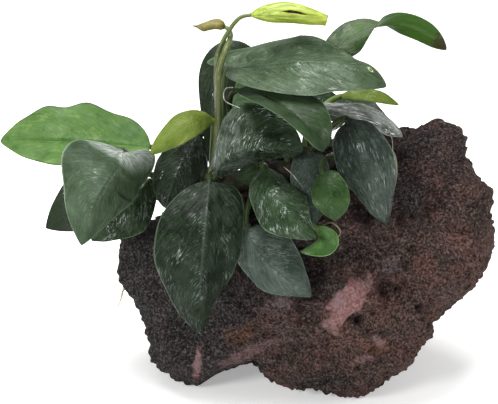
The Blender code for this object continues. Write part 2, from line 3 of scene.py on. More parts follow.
import bpy
import numpy as np
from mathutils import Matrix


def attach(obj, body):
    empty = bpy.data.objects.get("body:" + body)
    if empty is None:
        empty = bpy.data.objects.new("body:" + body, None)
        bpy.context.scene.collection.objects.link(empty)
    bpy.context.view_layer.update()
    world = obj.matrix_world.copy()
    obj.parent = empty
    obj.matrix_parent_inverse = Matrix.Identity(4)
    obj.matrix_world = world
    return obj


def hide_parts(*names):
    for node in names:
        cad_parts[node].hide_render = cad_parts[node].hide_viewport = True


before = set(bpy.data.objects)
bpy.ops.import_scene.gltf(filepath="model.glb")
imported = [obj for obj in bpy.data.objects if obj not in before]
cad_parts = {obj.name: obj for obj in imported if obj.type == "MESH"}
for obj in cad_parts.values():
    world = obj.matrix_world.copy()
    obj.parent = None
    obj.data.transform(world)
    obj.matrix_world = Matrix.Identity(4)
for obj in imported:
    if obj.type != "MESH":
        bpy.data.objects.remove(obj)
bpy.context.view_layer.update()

# Looks for an anubias grown on a lava stone. Lengths in the dictionaries are millimetres, angles degrees.
mm = 0.001
print("frame loaded,", len(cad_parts), "solids")


# The set-out. A place is (across, up, near) as the viewer sees it: across and up lie on an upright sheet
# through the origin, and near is how far in front of that sheet the place stands on its own line of sight.
sight = {"slope": 25.0, "distance": 900.0, "centreUp": 61.0, "halfWidth": 99.6}


def sightAxes():
    # the upright sheet's right and up, and the way towards the viewer, as directions in the world
    slope = math.radians(sight["slope"])
    right = (1.0, 0.0, 0.0)
    up = (0.0, math.sin(slope), math.cos(slope))
    near = (0.0, -math.cos(slope), math.sin(slope))
    return np.array([right, up, near])


def place(places):
    # world metres: the flat part shrinks towards the sight's centre as a place comes nearer
    places = np.asarray(places, float)
    closer = 1 - places[..., 2:] / sight["distance"]
    centre = np.array([0.0, sight["centreUp"]])
    flat = centre + (places[..., :2] - centre) * closer
    return np.concatenate([flat, places[..., 2:]], axis=-1) @ sightAxes() * mm


def unit(vectors):
    # each vector divided by its length
    return vectors / np.maximum(np.linalg.norm(vectors, axis=-1, keepdims=True), 1e-12)


def through(points, along):
    # the polynomial that passes through evenly spaced points, read at along from 0 to 1
    points = np.array(points, float)
    knots = np.linspace(0, 1, len(points))
    total = 0.0
    for index, point in enumerate(points):
        others = np.delete(knots, index)
        weight = np.prod((along[..., None] - others) / (knots[index] - others), axis=-1)
        total = total + weight[..., None] * point
    return total


def evenPath(points, steps):
    # a path that bends evenly through all its points, with steps spans from one point to the next
    points = np.array(points, float)
    ends = np.vstack([2 * points[0] - points[1], points, 2 * points[-1] - points[-2]])
    t = np.linspace(0, 1, steps, endpoint=False)[:, None]
    spans = []
    for before, start, finish, after in zip(ends[:-3], ends[1:-2], ends[2:-1], ends[3:]):
        bend = 2 * before - 5 * start + 4 * finish - after
        twist = 3 * start - before - 3 * finish + after
        spans.append(start + 0.5 * t * (finish - before) + 0.5 * t * t * bend + 0.5 * t**3 * twist)
    return np.vstack(spans + [points[-1:]])


def lattice(cell, seed):
    # repeatable numbers from -1 to 1 for whole-number cells
    mixed = cell[..., 0] * 73856093 ^ cell[..., 1] * 19349663 ^ cell[..., 2] * 83492791 ^ seed * 2654435761
    mixed = (mixed ^ (mixed >> 13)) * 1274126177 & 0xFFFFFFFF
    mixed = (mixed ^ (mixed >> 16)) & 0xFFFF
    return mixed / 32767.5 - 1


def bumps(points, size, seed):
    # smooth noise from -1 to 1 whose lumps are about size across
    scaled = points / size
    cell = np.floor(scaled).astype(np.int64)
    part = scaled - cell
    ease = part * part * part * (part * (part * 6 - 15) + 10)
    total = 0.0
    for corner in np.ndindex(2, 2, 2):
        offset = np.array(corner)
        weight = np.prod(np.where(offset == 1, ease, 1 - ease), axis=-1)
        total = total + weight * lattice(cell + offset, seed)
    return total


def bubbles(points, size, radius, seed):
    # depth below the skin of round bubbles, one in each cell of the given size: sqrt(radius^2 - distance^2)
    cell = np.floor(points / size).astype(np.int64)
    deepest = np.zeros(len(points))
    for corner in np.ndindex(3, 3, 3):
        near = cell + np.array(corner) - 1
        jitter = np.stack([lattice(near, seed + axis) for axis in range(3)], axis=-1)
        middle = (near + 0.5 + 0.42 * jitter) * size
        own = radius * (0.7 + 0.3 * lattice(near, seed + 3))
        depth = np.sqrt(np.clip(own**2 - np.sum((points - middle) ** 2, axis=-1), 0, None))
        deepest = np.maximum(deepest, depth)
    return deepest


def newPiece(name, points, quads, triangles, values=(), uv=None):
    # one smooth mesh from whole arrays; values are named numbers on the points, uv is a pair for each point
    corners = [points[quads[:, [0, 1, 2]]], points[quads[:, [0, 2, 3]]], points[triangles]]
    corners = np.concatenate([part.reshape(-1, 3, 3) for part in corners])
    volume = np.sum(corners[:, 0] * np.cross(corners[:, 1], corners[:, 2]))
    if volume < 0:
        quads, triangles = quads[:, ::-1], triangles[:, ::-1]
    loops = np.concatenate([quads.ravel(), triangles.ravel()])
    starts = np.concatenate([np.arange(len(quads)) * 4, len(quads) * 4 + np.arange(len(triangles)) * 3])
    mesh = bpy.data.meshes.new(name)
    mesh.vertices.add(len(points))
    mesh.vertices.foreach_set("co", points.astype(np.float32).ravel())
    mesh.loops.add(len(loops))
    mesh.loops.foreach_set("vertex_index", loops.astype(np.int32))
    mesh.polygons.add(len(starts))
    mesh.polygons.foreach_set("loop_start", starts.astype(np.int32))
    mesh.update(calc_edges=True)
    mesh.shade_smooth()
    for label, numbers in values:
        layer = mesh.attributes.new(label, "FLOAT", "POINT")
        layer.data.foreach_set("value", np.ascontiguousarray(numbers, dtype=np.float32).ravel())
    if uv is not None:
        mesh.uv_layers.new(name="blade").data.foreach_set("uv", uv[loops].astype(np.float32).ravel())
    mesh.validate()
    piece = bpy.data.objects.new(name, mesh)
    bpy.context.scene.collection.objects.link(piece)
    return piece


def circle(turns, first, second):
    # cos(turn) * first + sin(turn) * second, for each place of an axis and each turn round it
    cosines, sines = np.cos(turns), np.sin(turns)
    return cosines[..., None] * first[:, None, :] + sines[..., None] * second[:, None, :]


def ringFaces(rings, around):
    # quads between neighbouring rings, and a fan at each end that meets in a point added after the rings
    row, column = np.meshgrid(np.arange(rings - 1), np.arange(around), indexing="ij")
    after = (column + 1) % around
    quads = np.stack([row * around + column, row * around + after, (row + 1) * around + after,
                      (row + 1) * around + column], axis=-1).reshape(-1, 4)
    index = np.arange(around)
    turn = (index + 1) % around
    last = (rings - 1) * around
    first = np.stack([turn, index, np.full(around, rings * around)], axis=-1)
    final = np.stack([last + index, last + turn, np.full(around, rings * around + 1)], axis=-1)
    return quads, np.concatenate([first, final])


def loftPiece(name, rings, start, tip, values=(), uv=None):
    # closed skin over rings (ring, around, 3) in world metres, closed at both ends in a point
    count, around = rings.shape[:2]
    quads, triangles = ringFaces(count, around)
    points = np.concatenate([rings.reshape(-1, 3), [start, tip]])
    return newPiece(name, points, quads, triangles, values, uv)


def setPiece(piece, node, look):
    piece.data.materials.append(look)
    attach(piece, "root")
    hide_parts(node)


# Materials. A Wire is a socket that can be used in sums, and a Finish makes the nodes.
class Wire:
    def __init__(self, finish, socket):
        self.finish = finish
        self.socket = socket

    def calc(self, operation, *others):
        return self.finish.maths(operation, self, *others)

    def __add__(self, other):
        return self.calc("ADD", other)

    def __mul__(self, other):
        return self.calc("MULTIPLY", other)

    def __sub__(self, other):
        return self.calc("SUBTRACT", other)

    def __rsub__(self, other):
        return self.finish.maths("SUBTRACT", other, self)

    def __pow__(self, other):
        return self.calc("POWER", other)


class Finish:
    def __init__(self, name):
        self.material = bpy.data.materials.new(name)
        self.material.use_nodes = True
        self.tree = self.material.node_tree
        self.tree.nodes.clear()

    def feed(self, socket, value):
        # a link from a Wire, or else the value itself, where a colour of three numbers gets its fourth
        if isinstance(value, Wire):
            self.tree.links.new(value.socket, socket)
        elif socket.type == "RGBA" and len(value) == 3:
            socket.default_value = (*value, 1.0)
        else:
            socket.default_value = value

    def node(self, kind, settings=None, values=None, out=0):
        made = self.tree.nodes.new(kind)
        for key, value in (settings or {}).items():
            setattr(made, key, value)
        for key, value in (values or {}).items():
            self.feed(made.inputs[key], value)
        return Wire(self, made.outputs[out])

    def maths(self, operation, *terms):
        return self.node("ShaderNodeMath", {"operation": operation}, dict(enumerate(terms)))

    def clamp(self, value):
        return self.node("ShaderNodeClamp", None, {"Value": value})

    def step(self, value, low, high):
        # 0 below low and 1 above high, eased between; low may be the larger one
        return self.node("ShaderNodeMapRange", {"interpolation_type": "SMOOTHSTEP", "clamp": True},
                         {"Value": value, "From Min": low, "From Max": high})

    def spot(self):
        return self.node("ShaderNodeTexCoord", out="Object")

    def noise(self, size, detail=3.0, roughness=0.55, stretch=None):
        where = self.spot()
        if stretch:
            where = self.node("ShaderNodeMapping", None, {"Vector": where, "Scale": stretch})
        values = {"Vector": where, "Scale": 1 / (size * mm), "Detail": detail, "Roughness": roughness}
        return self.node("ShaderNodeTexNoise", None, values)

    def spaceNoise(self, x, y, z, detail):
        # noise in a space made of three numbers, with cells one unit across
        space = self.node("ShaderNodeCombineXYZ", None, {0: x, 1: y, 2: z})
        return self.node("ShaderNodeTexNoise", None, {"Vector": space, "Scale": 1.0, "Detail": detail})

    def cells(self, size):
        return self.node("ShaderNodeTexVoronoi", None, {"Vector": self.spot(), "Scale": 1 / (size * mm)})

    def mix(self, share, first, second, blend="MIX"):
        settings = {"data_type": "RGBA", "blend_type": blend, "clamp_factor": True}
        return self.node("ShaderNodeMix", settings, {"Factor": share, 6: first, 7: second}, 2)

    def number(self, label):
        return self.node("ShaderNodeAttribute", {"attribute_name": label}, out="Fac")

    def parts(self, vector):
        # the three numbers of a vector
        split = self.node("ShaderNodeSeparateXYZ", None, {0: vector})
        return [Wire(self, socket) for socket in split.socket.node.outputs]

    def bladePlace(self):
        # side from -1 on the left margin to 1 on the right, along from -1 at the stem over 0 to 1 at the tip
        side, along, _ = self.parts(self.node("ShaderNodeUVMap", {"uv_map": "blade"}))
        return side * 2.0 - 1.0, along

    def finishWith(self, colour, roughness, height=None, bumpDepth=0.1, settings=None):
        # settings are further sockets of the shader, and bumpDepth is in mm
        values = {"Base Color": colour, "Roughness": roughness, **(settings or {})}
        if height is not None:
            bump = {"Height": height, "Distance": bumpDepth * mm}
            values["Normal"] = self.node("ShaderNodeBump", None, bump)
        shader = self.node("ShaderNodeBsdfPrincipled", None, values)
        output = self.tree.nodes.new("ShaderNodeOutputMaterial")
        self.feed(output.inputs[0], shader)
        return self.material


# The boulder.
stone = {
    "centre": (24.0, 37.0, 29.0), "turn": 0.1, "front": 40.0, "back": 50.0, "squareness": 0.86, "grid": 128,
    # its outline as seen, round the centre from the right-hand side over the top: (across, up)
    "outline": (
        (98, 44), (96, 58), (97, 66), (91, 72), (87, 79), (87, 86), (82, 92), (76, 93), (71.5, 92.5),
        (65.5, 89), (61, 91), (55, 88), (46, 87), (34, 86), (20, 82), (4, 76), (-14, 68), (-28, 60),
        (-38, 54), (-51, 48), (-52, 37), (-52, 30), (-46, 22), (-42, 14), (-40, 6), (-39, -3), (-36, -7),
        (-27, -11), (-20, -12), (-12, -7), (-4, -4), (3, 0), (6, -7), (12, -11), (23, -13), (33, -14),
        (40, -16), (47, -16), (53, -12), (57, -9), (63, -6), (68, 3), (74, 9), (73, 13), (83, 21),
        (88, 24), (93, 31), (96, 38),
    ),
    "lumps": ((30.0, 3.0, 3), (13.0, 2.6, 5), (7.0, 1.5, 8)),     # size, height, seed
    "scoops": ((19.0, 7.0, 11), (11.0, 4.0, 17)),                 # size, depth, seed
    "hollows": (                                                  # place, radius, depth
        ((6, -2, 58), 22, 8), ((62, 86, 50), 15, 5), ((64, 27, 66), 10, 4), ((-46, 12, 34), 14, 4),
        ((30, 42, -24), 24, 7), ((74, 62, -8), 20, 6), ((-22, 20, -14), 18, 5), ((20, -6, 62), 16, 5),
    ),
    "breaks": (                                                   # direction, depth
        ((0.11, -0.30, 0.95), 2.6), ((-0.62, -0.45, 0.64), 3.0), ((0.55, 0.35, 0.76), 2.4),
        ((0.35, 0.30, -0.90), 4.0), ((-0.65, 0.10, -0.75), 4.0), ((0.85, -0.10, -0.50), 3.0),
    ),
    "crumbs": ((4.0, 0.7, 31), (2.4, 1.15, 37), (1.6, 0.7, 41)),  # size, height, seed
    "pores": ((9.0, 2.6, 51), (5.0, 1.5, 61), (2.6, 0.85, 71)),   # cell size, bubble radius, seed
    "poreDepth": 0.55, "holeDepth": 1.3,                          # shares of bubble depth and of hole radius
    "scarRise": 0.5, "scarSmooth": 0.92, "crustRough": 0.5,       # mm, and shares of the crumbs' height
    # smooth pink scars where a face broke off: (across, up), half length, half width, turn, strength
    "scars": (
        ((39.4, 20.4), 15.5, 7.0, 54, 1.0), ((-20.4, -3.4), 8.5, 2.4, 84, 0.8),
        ((0.5, 1.0), 15.5, 3.0, 24, 0.42), ((51.6, 5.6), 4.2, 2.6, -40, 0.5),
        ((46.4, -1.6), 5.5, 2.0, 5, 0.45), ((14.0, 5.4), 9.0, 2.0, 8, 0.3),
    ),
    # open holes: (across, up), radius
    "holes": (((63.5, 35.7), 2.3), ((44.4, 13.2), 2.2), ((60, 26), 1.3), ((57, 28), 1.2), ((69, 18), 2.0)),
    # soft spots of other colour, with rougher crumbs in the black crust: (across, up), half length, half
    # width, turn. The crust spots also hold painted shade: the thin band under the ledge and the band along
    # the foot stand for shade there, not for crust.
    "rust": (((-5.0, 7.5), 7.0, 4.5, 20), ((34.0, 12.0), 5.0, 4.0, -30), ((52.0, 2.0), 6.0, 3.5, 0)),
    "violet": (((56.0, 36.5), 4.2, 5.5, 0), ((1.0, 1.6), 17.0, 3.0, 24), ((12.0, 20.0), 7.0, 5.0, 30)),
    "crust": (
        ((73.0, 82.0), 28.0, 21.0, 0), ((-33.0, 46.0), 16.0, 12.0, 30), ((3.0, -5.0), 19.0, 3.4, 18),
        ((30.0, -11.0), 20.0, 5.0, 0), ((-26.0, 6.0), 9.0, 16.0, 10), ((62.0, 62.0), 16.0, 12.0, 40),
    ),
}

# The creeping stem. The stone makes room for it, so its values stand here.
rhizome = {
    "path": ((-34.0, 62.0, 31.0), (-11.5, 67.5, 48.0), (12.0, 73.0, 56.5), (36.0, 79.0, 62.0)),
    "radius": 4.6, "gap": 0.35, "steps": 170, "sides": 40,
    "scars": 22, "scarStep": 0.08,                  # number of leaf scars, share of the radius
    "knob": 0.35, "knobSize": 2.2,                  # height and size of its knobs
    # the stem's own dark and brown colours, darkened further as painted shade, since it lies in shade among
    # the leaves
    "dark": (0.010, 0.013, 0.005), "brown": (0.020, 0.015, 0.008), "scarColour": (0.010, 0.007, 0.004),
    "fibre": (0.070, 0.056, 0.030),
}


def outlineRadius(angle):
    # distance from the stone's centre to its outline, straight in angle from one corner to the next
    corners = np.array(stone["outline"], float) - stone["centre"][:2]
    turns = np.arctan2(corners[:, 1], corners[:, 0])
    order = np.argsort(turns)
    return np.interp(angle, turns[order], np.hypot(*corners.T)[order], period=2 * math.pi)


def plainReach(outward):
    # how far the stone without lumps reaches in a direction
    rows = np.stack(np.meshgrid(np.linspace(-1, 1, 21), np.linspace(-1, 1, 21)), axis=-1).reshape(-1, 2)
    rows = rows[np.hypot(*rows.T) < 1]
    depth = np.sqrt(1 - np.sum(rows**2, axis=1)) * math.copysign(1, outward[2])
    reach = stone["front"] if outward[2] > 0 else stone["back"]
    angle = np.arctan2(rows[:, 1], rows[:, 0])
    out = outlineRadius(angle) * np.hypot(*rows.T) ** stone["squareness"]
    flat = np.stack([out * np.cos(angle), out * np.sin(angle)], axis=1) + stone["centre"][:2]
    near = stone["centre"][2] + reach * np.sign(depth) * np.abs(depth) ** stone["squareness"]
    near = near + stone["turn"] * (flat[:, 0] - stone["centre"][0])
    return np.max(np.column_stack([flat, near]) @ outward)


def boulderPlaces(directions):
    # the outline at the rim, rounder towards front and back, then lumps, scoops, hollows and broken faces
    across, up, near = directions.T
    angle = np.arctan2(up, across)
    rim = np.hypot(across, up)
    smooth = np.mean([outlineRadius(angle + turn) for turn in np.radians(np.linspace(-30, 30, 9))], axis=0)
    out = (smooth + (outlineRadius(angle) - smooth) * rim**10) * rim ** stone["squareness"]
    reach = np.where(near > 0, stone["front"], stone["back"]) * np.abs(near) ** stone["squareness"]
    places = np.stack([out * np.cos(angle), out * np.sin(angle), np.sign(near) * reach], axis=1)
    lumps = sum(height * bumps(places, size, seed) for size, height, seed in stone["lumps"])
    for size, depth, seed in stone["scoops"]:
        lumps = lumps - depth * np.clip(bumps(places, size, seed) - 0.12, 0, 0.5)
    fade = 0.25 + 0.75 * (1 - rim**8)
    places = places + directions * (lumps * fade)[:, None]
    places[:, 2] += stone["turn"] * places[:, 0]
    places = places + np.array(stone["centre"])
    for centre, radius, depth in stone["hollows"]:
        closeness = np.clip(1 - np.sum((places - centre) ** 2, axis=1) / radius**2, 0, 1)
        places = places - directions * (depth * fade * closeness**2)[:, None]
    for direction, depth in stone["breaks"]:
        outward = unit(np.array(direction))
        beyond = places @ outward - (plainReach(outward) - depth)
        places = places - np.maximum(beyond, 0)[:, None] * outward
    return places


def scarMask(places):
    # 1 inside the pink scars on the near side, falling to 0 at their ragged rims
    mask = np.zeros(len(places))
    ragged = 0.28 * bumps(places, 4.0, 81) + 0.16 * bumps(places, 1.7, 83)
    for centre, length, width, turn, strength in stone["scars"]:
        inside = 1 - spotPlace(places, centre, length, width, turn) + ragged
        mask = np.maximum(mask, np.clip(inside * 2.4, 0, 1) * strength)
    return mask * (places[:, 2] > stone["centre"][2])


def spotPlace(places, centre, length, width, turn):
    # places in a turned ellipse's own measure: its rim is at 1
    angle = math.radians(turn)
    offset = places[:, :2] - centre
    alongIt = (offset[:, 0] * math.cos(angle) + offset[:, 1] * math.sin(angle)) / length
    besideIt = (offset[:, 1] * math.cos(angle) - offset[:, 0] * math.sin(angle)) / width
    return np.hypot(alongIt, besideIt)


def softSpots(places, spots):
    # 1 in the middle of each spot on the near side, falling to 0 at its ragged rim
    mask = np.zeros(len(places))
    ragged = 0.5 * bumps(places, 5.0, 85)
    for centre, length, width, turn in spots:
        inside = 1.15 - spotPlace(places, centre, length, width, turn) + ragged
        mask = np.maximum(mask, np.clip(inside, 0, 1))
    return mask * np.clip((places[:, 2] - stone["centre"][2]) / 8 + 2.5, 0, 1)


def rhizomeAxis(along):
    # the stem's middle line, with the direction towards the viewer and the one over its back at each place
    along = np.asarray(along, float)
    centre = through(rhizome["path"], along)
    ahead = unit(through(rhizome["path"], along + 0.001) - centre)
    front = unit(np.array([0.0, 0.0, 1.0]) - ahead * ahead[..., 2:])
    over = unit(np.cross(front, ahead))
    return centre, front, over * np.where(over[..., 1:2] < 0, -1, 1)


def makeStone():
    # a gridded cube blown up to a ball: each cube place x becomes tan(x * 45 degrees), then a direction,
    # pushed out to the boulder's places, hollowed by pores and holes, and roughened by crumbs
    count = stone["grid"]
    first, second = np.meshgrid(np.arange(count + 1), np.arange(count + 1), indexing="ij")
    sides = []
    for axis in range(3):
        for level in (0, count):
            side = np.insert(np.stack([first, second], axis=-1), axis, level, axis=-1)
            sides.append(side if (level == 0) == (axis == 1) else side[:, ::-1])
    cells = np.array(sides)
    keys = cells @ np.array([1, count + 1, (count + 1) ** 2])
    found, inverse = np.unique(keys.ravel(), return_inverse=True)
    index = inverse.reshape(keys.shape)
    quads = np.stack([index[:, :-1, :-1], index[:, 1:, :-1], index[:, 1:, 1:], index[:, :-1, 1:]], axis=-1)
    corners = [found % (count + 1), found // (count + 1) % (count + 1), found // (count + 1) ** 2]
    corners = np.stack(corners, axis=1)
    directions = unit(np.tan((corners / count * 2 - 1) * math.pi / 4))
    places = boulderPlaces(directions)
    scar = scarMask(places)
    rough = 1 - stone["scarSmooth"] * scar
    # how deep pores and holes hollow each place, kept for the painted shade in the pores
    pit = np.zeros(len(places))
    for size, radius, seed in stone["pores"]:
        depth = bubbles(places, size, radius, seed)
        pit = pit + depth / radius * np.clip(radius / 1.6, 0.4, 1)
        places = places - directions * (depth * stone["poreDepth"] * rough)[:, None]
    for (across, up), radius in stone["holes"]:
        distance = np.hypot(places[:, 0] - across, places[:, 1] - up)
        hole = np.sqrt(np.clip(1 - (distance / radius) ** 2, 0, 1)) * (places[:, 2] > stone["centre"][2])
        pit = pit + 1.6 * hole
        places = places - directions * (hole * radius * stone["holeDepth"])[:, None]
    crumbs = sum(height * bumps(places, size, seed) for size, height, seed in stone["crumbs"])
    jagged = 1 + stone["crustRough"] * softSpots(places, stone["crust"])
    places = places + directions * (crumbs * rough * jagged + stone["scarRise"] * scar)[:, None]
    # a trough for the stem
    axis, _, _ = rhizomeAxis(np.linspace(-0.06, 1.06, 60))
    clear = rhizome["radius"] + 4 * rhizome["gap"]
    distance = np.min([np.linalg.norm(places - spot, axis=1) for spot in axis], axis=0)
    inward = unit(np.array(stone["centre"]) - places)
    places = places + inward * (np.maximum(clear - distance, 0) * 1.8)[:, None]
    points = place(places)
    points[:, 2] = np.maximum(points[:, 2], 0)
    values = [("scar", scar), ("pit", np.clip(pit, 0, 2))]
    values += [(kind, softSpots(places, stone[kind])) for kind in ("rust", "violet", "crust")]
    return newPiece("lavaStone", points, quads.reshape(-1, 4), np.zeros((0, 3), int), values)


# Linear colours of the lava, then the sizes in mm of what places them, then its gloss and bump in mm.
lavaLook = {
    "black": (0.017, 0.0145, 0.0145), "brown": (0.044, 0.026, 0.021), "red": (0.092, 0.040, 0.032),
    "rust": (0.120, 0.052, 0.024), "violet": (0.094, 0.070, 0.072), "stain": (0.013, 0.011, 0.010),
    "crust": (0.010, 0.008, 0.008), "pore": (0.006, 0.0045, 0.004), "blackGrain": (0.120, 0.106, 0.104),
    "brownGrain": (0.168, 0.108, 0.093), "crustGrain": (0.112, 0.102, 0.100), "scar": (0.130, 0.058, 0.054),
    "scarLight": (0.225, 0.125, 0.124), "scarGrey": (0.175, 0.125, 0.135),
    "broadSize": 38, "patchSize": 13, "grainSize": 0.95, "speckSize": 0.45, "pitSize": 1.25,
    "rough": 0.9, "speckGloss": 0.35, "shine": 0.2, "bump": 0.9,
}


def lavaFinish():
    f = Finish("lava")
    look = lavaLook
    acrossX, _, highZ = f.parts(f.spot())
    broad = f.noise(look["broadSize"], 3, 0.6)
    patch = f.noise(look["patchSize"], 4, 0.65)
    grain = f.noise(look["grainSize"], 3, 0.75)
    speck = f.noise(look["speckSize"], 1, 0.6)
    pits = f.cells(look["pitSize"])
    # blackish to the left and along the top, redder low down and to the right
    warm = f.step(acrossX * 6.0 + broad * 0.9 - highZ * 3.2, 0.05, 0.75)
    body = f.mix(warm, look["black"], look["brown"])
    red = f.step(patch + warm * 0.12, 0.56, 0.74)
    body = f.mix(red * (warm * 0.6 + 0.15), body, look["red"])
    body = f.mix(f.number("rust") * 0.7, body, look["rust"])
    body = f.mix(f.number("violet") * 0.7, body, look["violet"])
    body = f.mix(f.step(patch, 0.44, 0.28) * 0.6, body, look["stain"])
    # black crust, and painted shade in the bands under the ledge and along the foot
    body = f.mix(f.number("crust") * 0.8, body, look["crust"])
    # pale grains on the skin, and painted shade in the pores between them, darkest where pits and holes are
    # hollowed out
    grains = f.mix(warm, look["blackGrain"], look["brownGrain"])
    grains = f.mix(f.number("crust") * 0.75, grains, look["crustGrain"])
    body = f.mix(f.step(grain, 0.52, 0.62) * 0.55, body, grains)
    hole = f.step(pits, 0.33, 0.12) * 0.75
    hole = f.clamp(hole + f.step(grain, 0.47, 0.36) * 0.85 + f.number("pit") * 0.42)
    body = f.mix(hole, body, look["pore"])
    scar = f.number("scar")
    pink = f.mix(f.step(f.noise(1.0, 3, 0.7), 0.40, 0.62), look["scar"], look["scarLight"])
    pink = f.mix(f.step(f.noise(7.0, 2), 0.44, 0.60) * 0.5, pink, look["scarGrey"])
    body = f.mix(f.step(scar, 0.1, 0.85) * 0.9, body, pink)
    height = (grain * 0.7 + speck * 0.5 - hole * 0.8) * (1 - scar * 0.75)
    roughness = look["rough"] - f.step(speck, 0.62, 0.78) * look["speckGloss"]
    return f.finishWith(body, roughness, height, look["bump"], {"Specular IOR Level": look["shine"]})
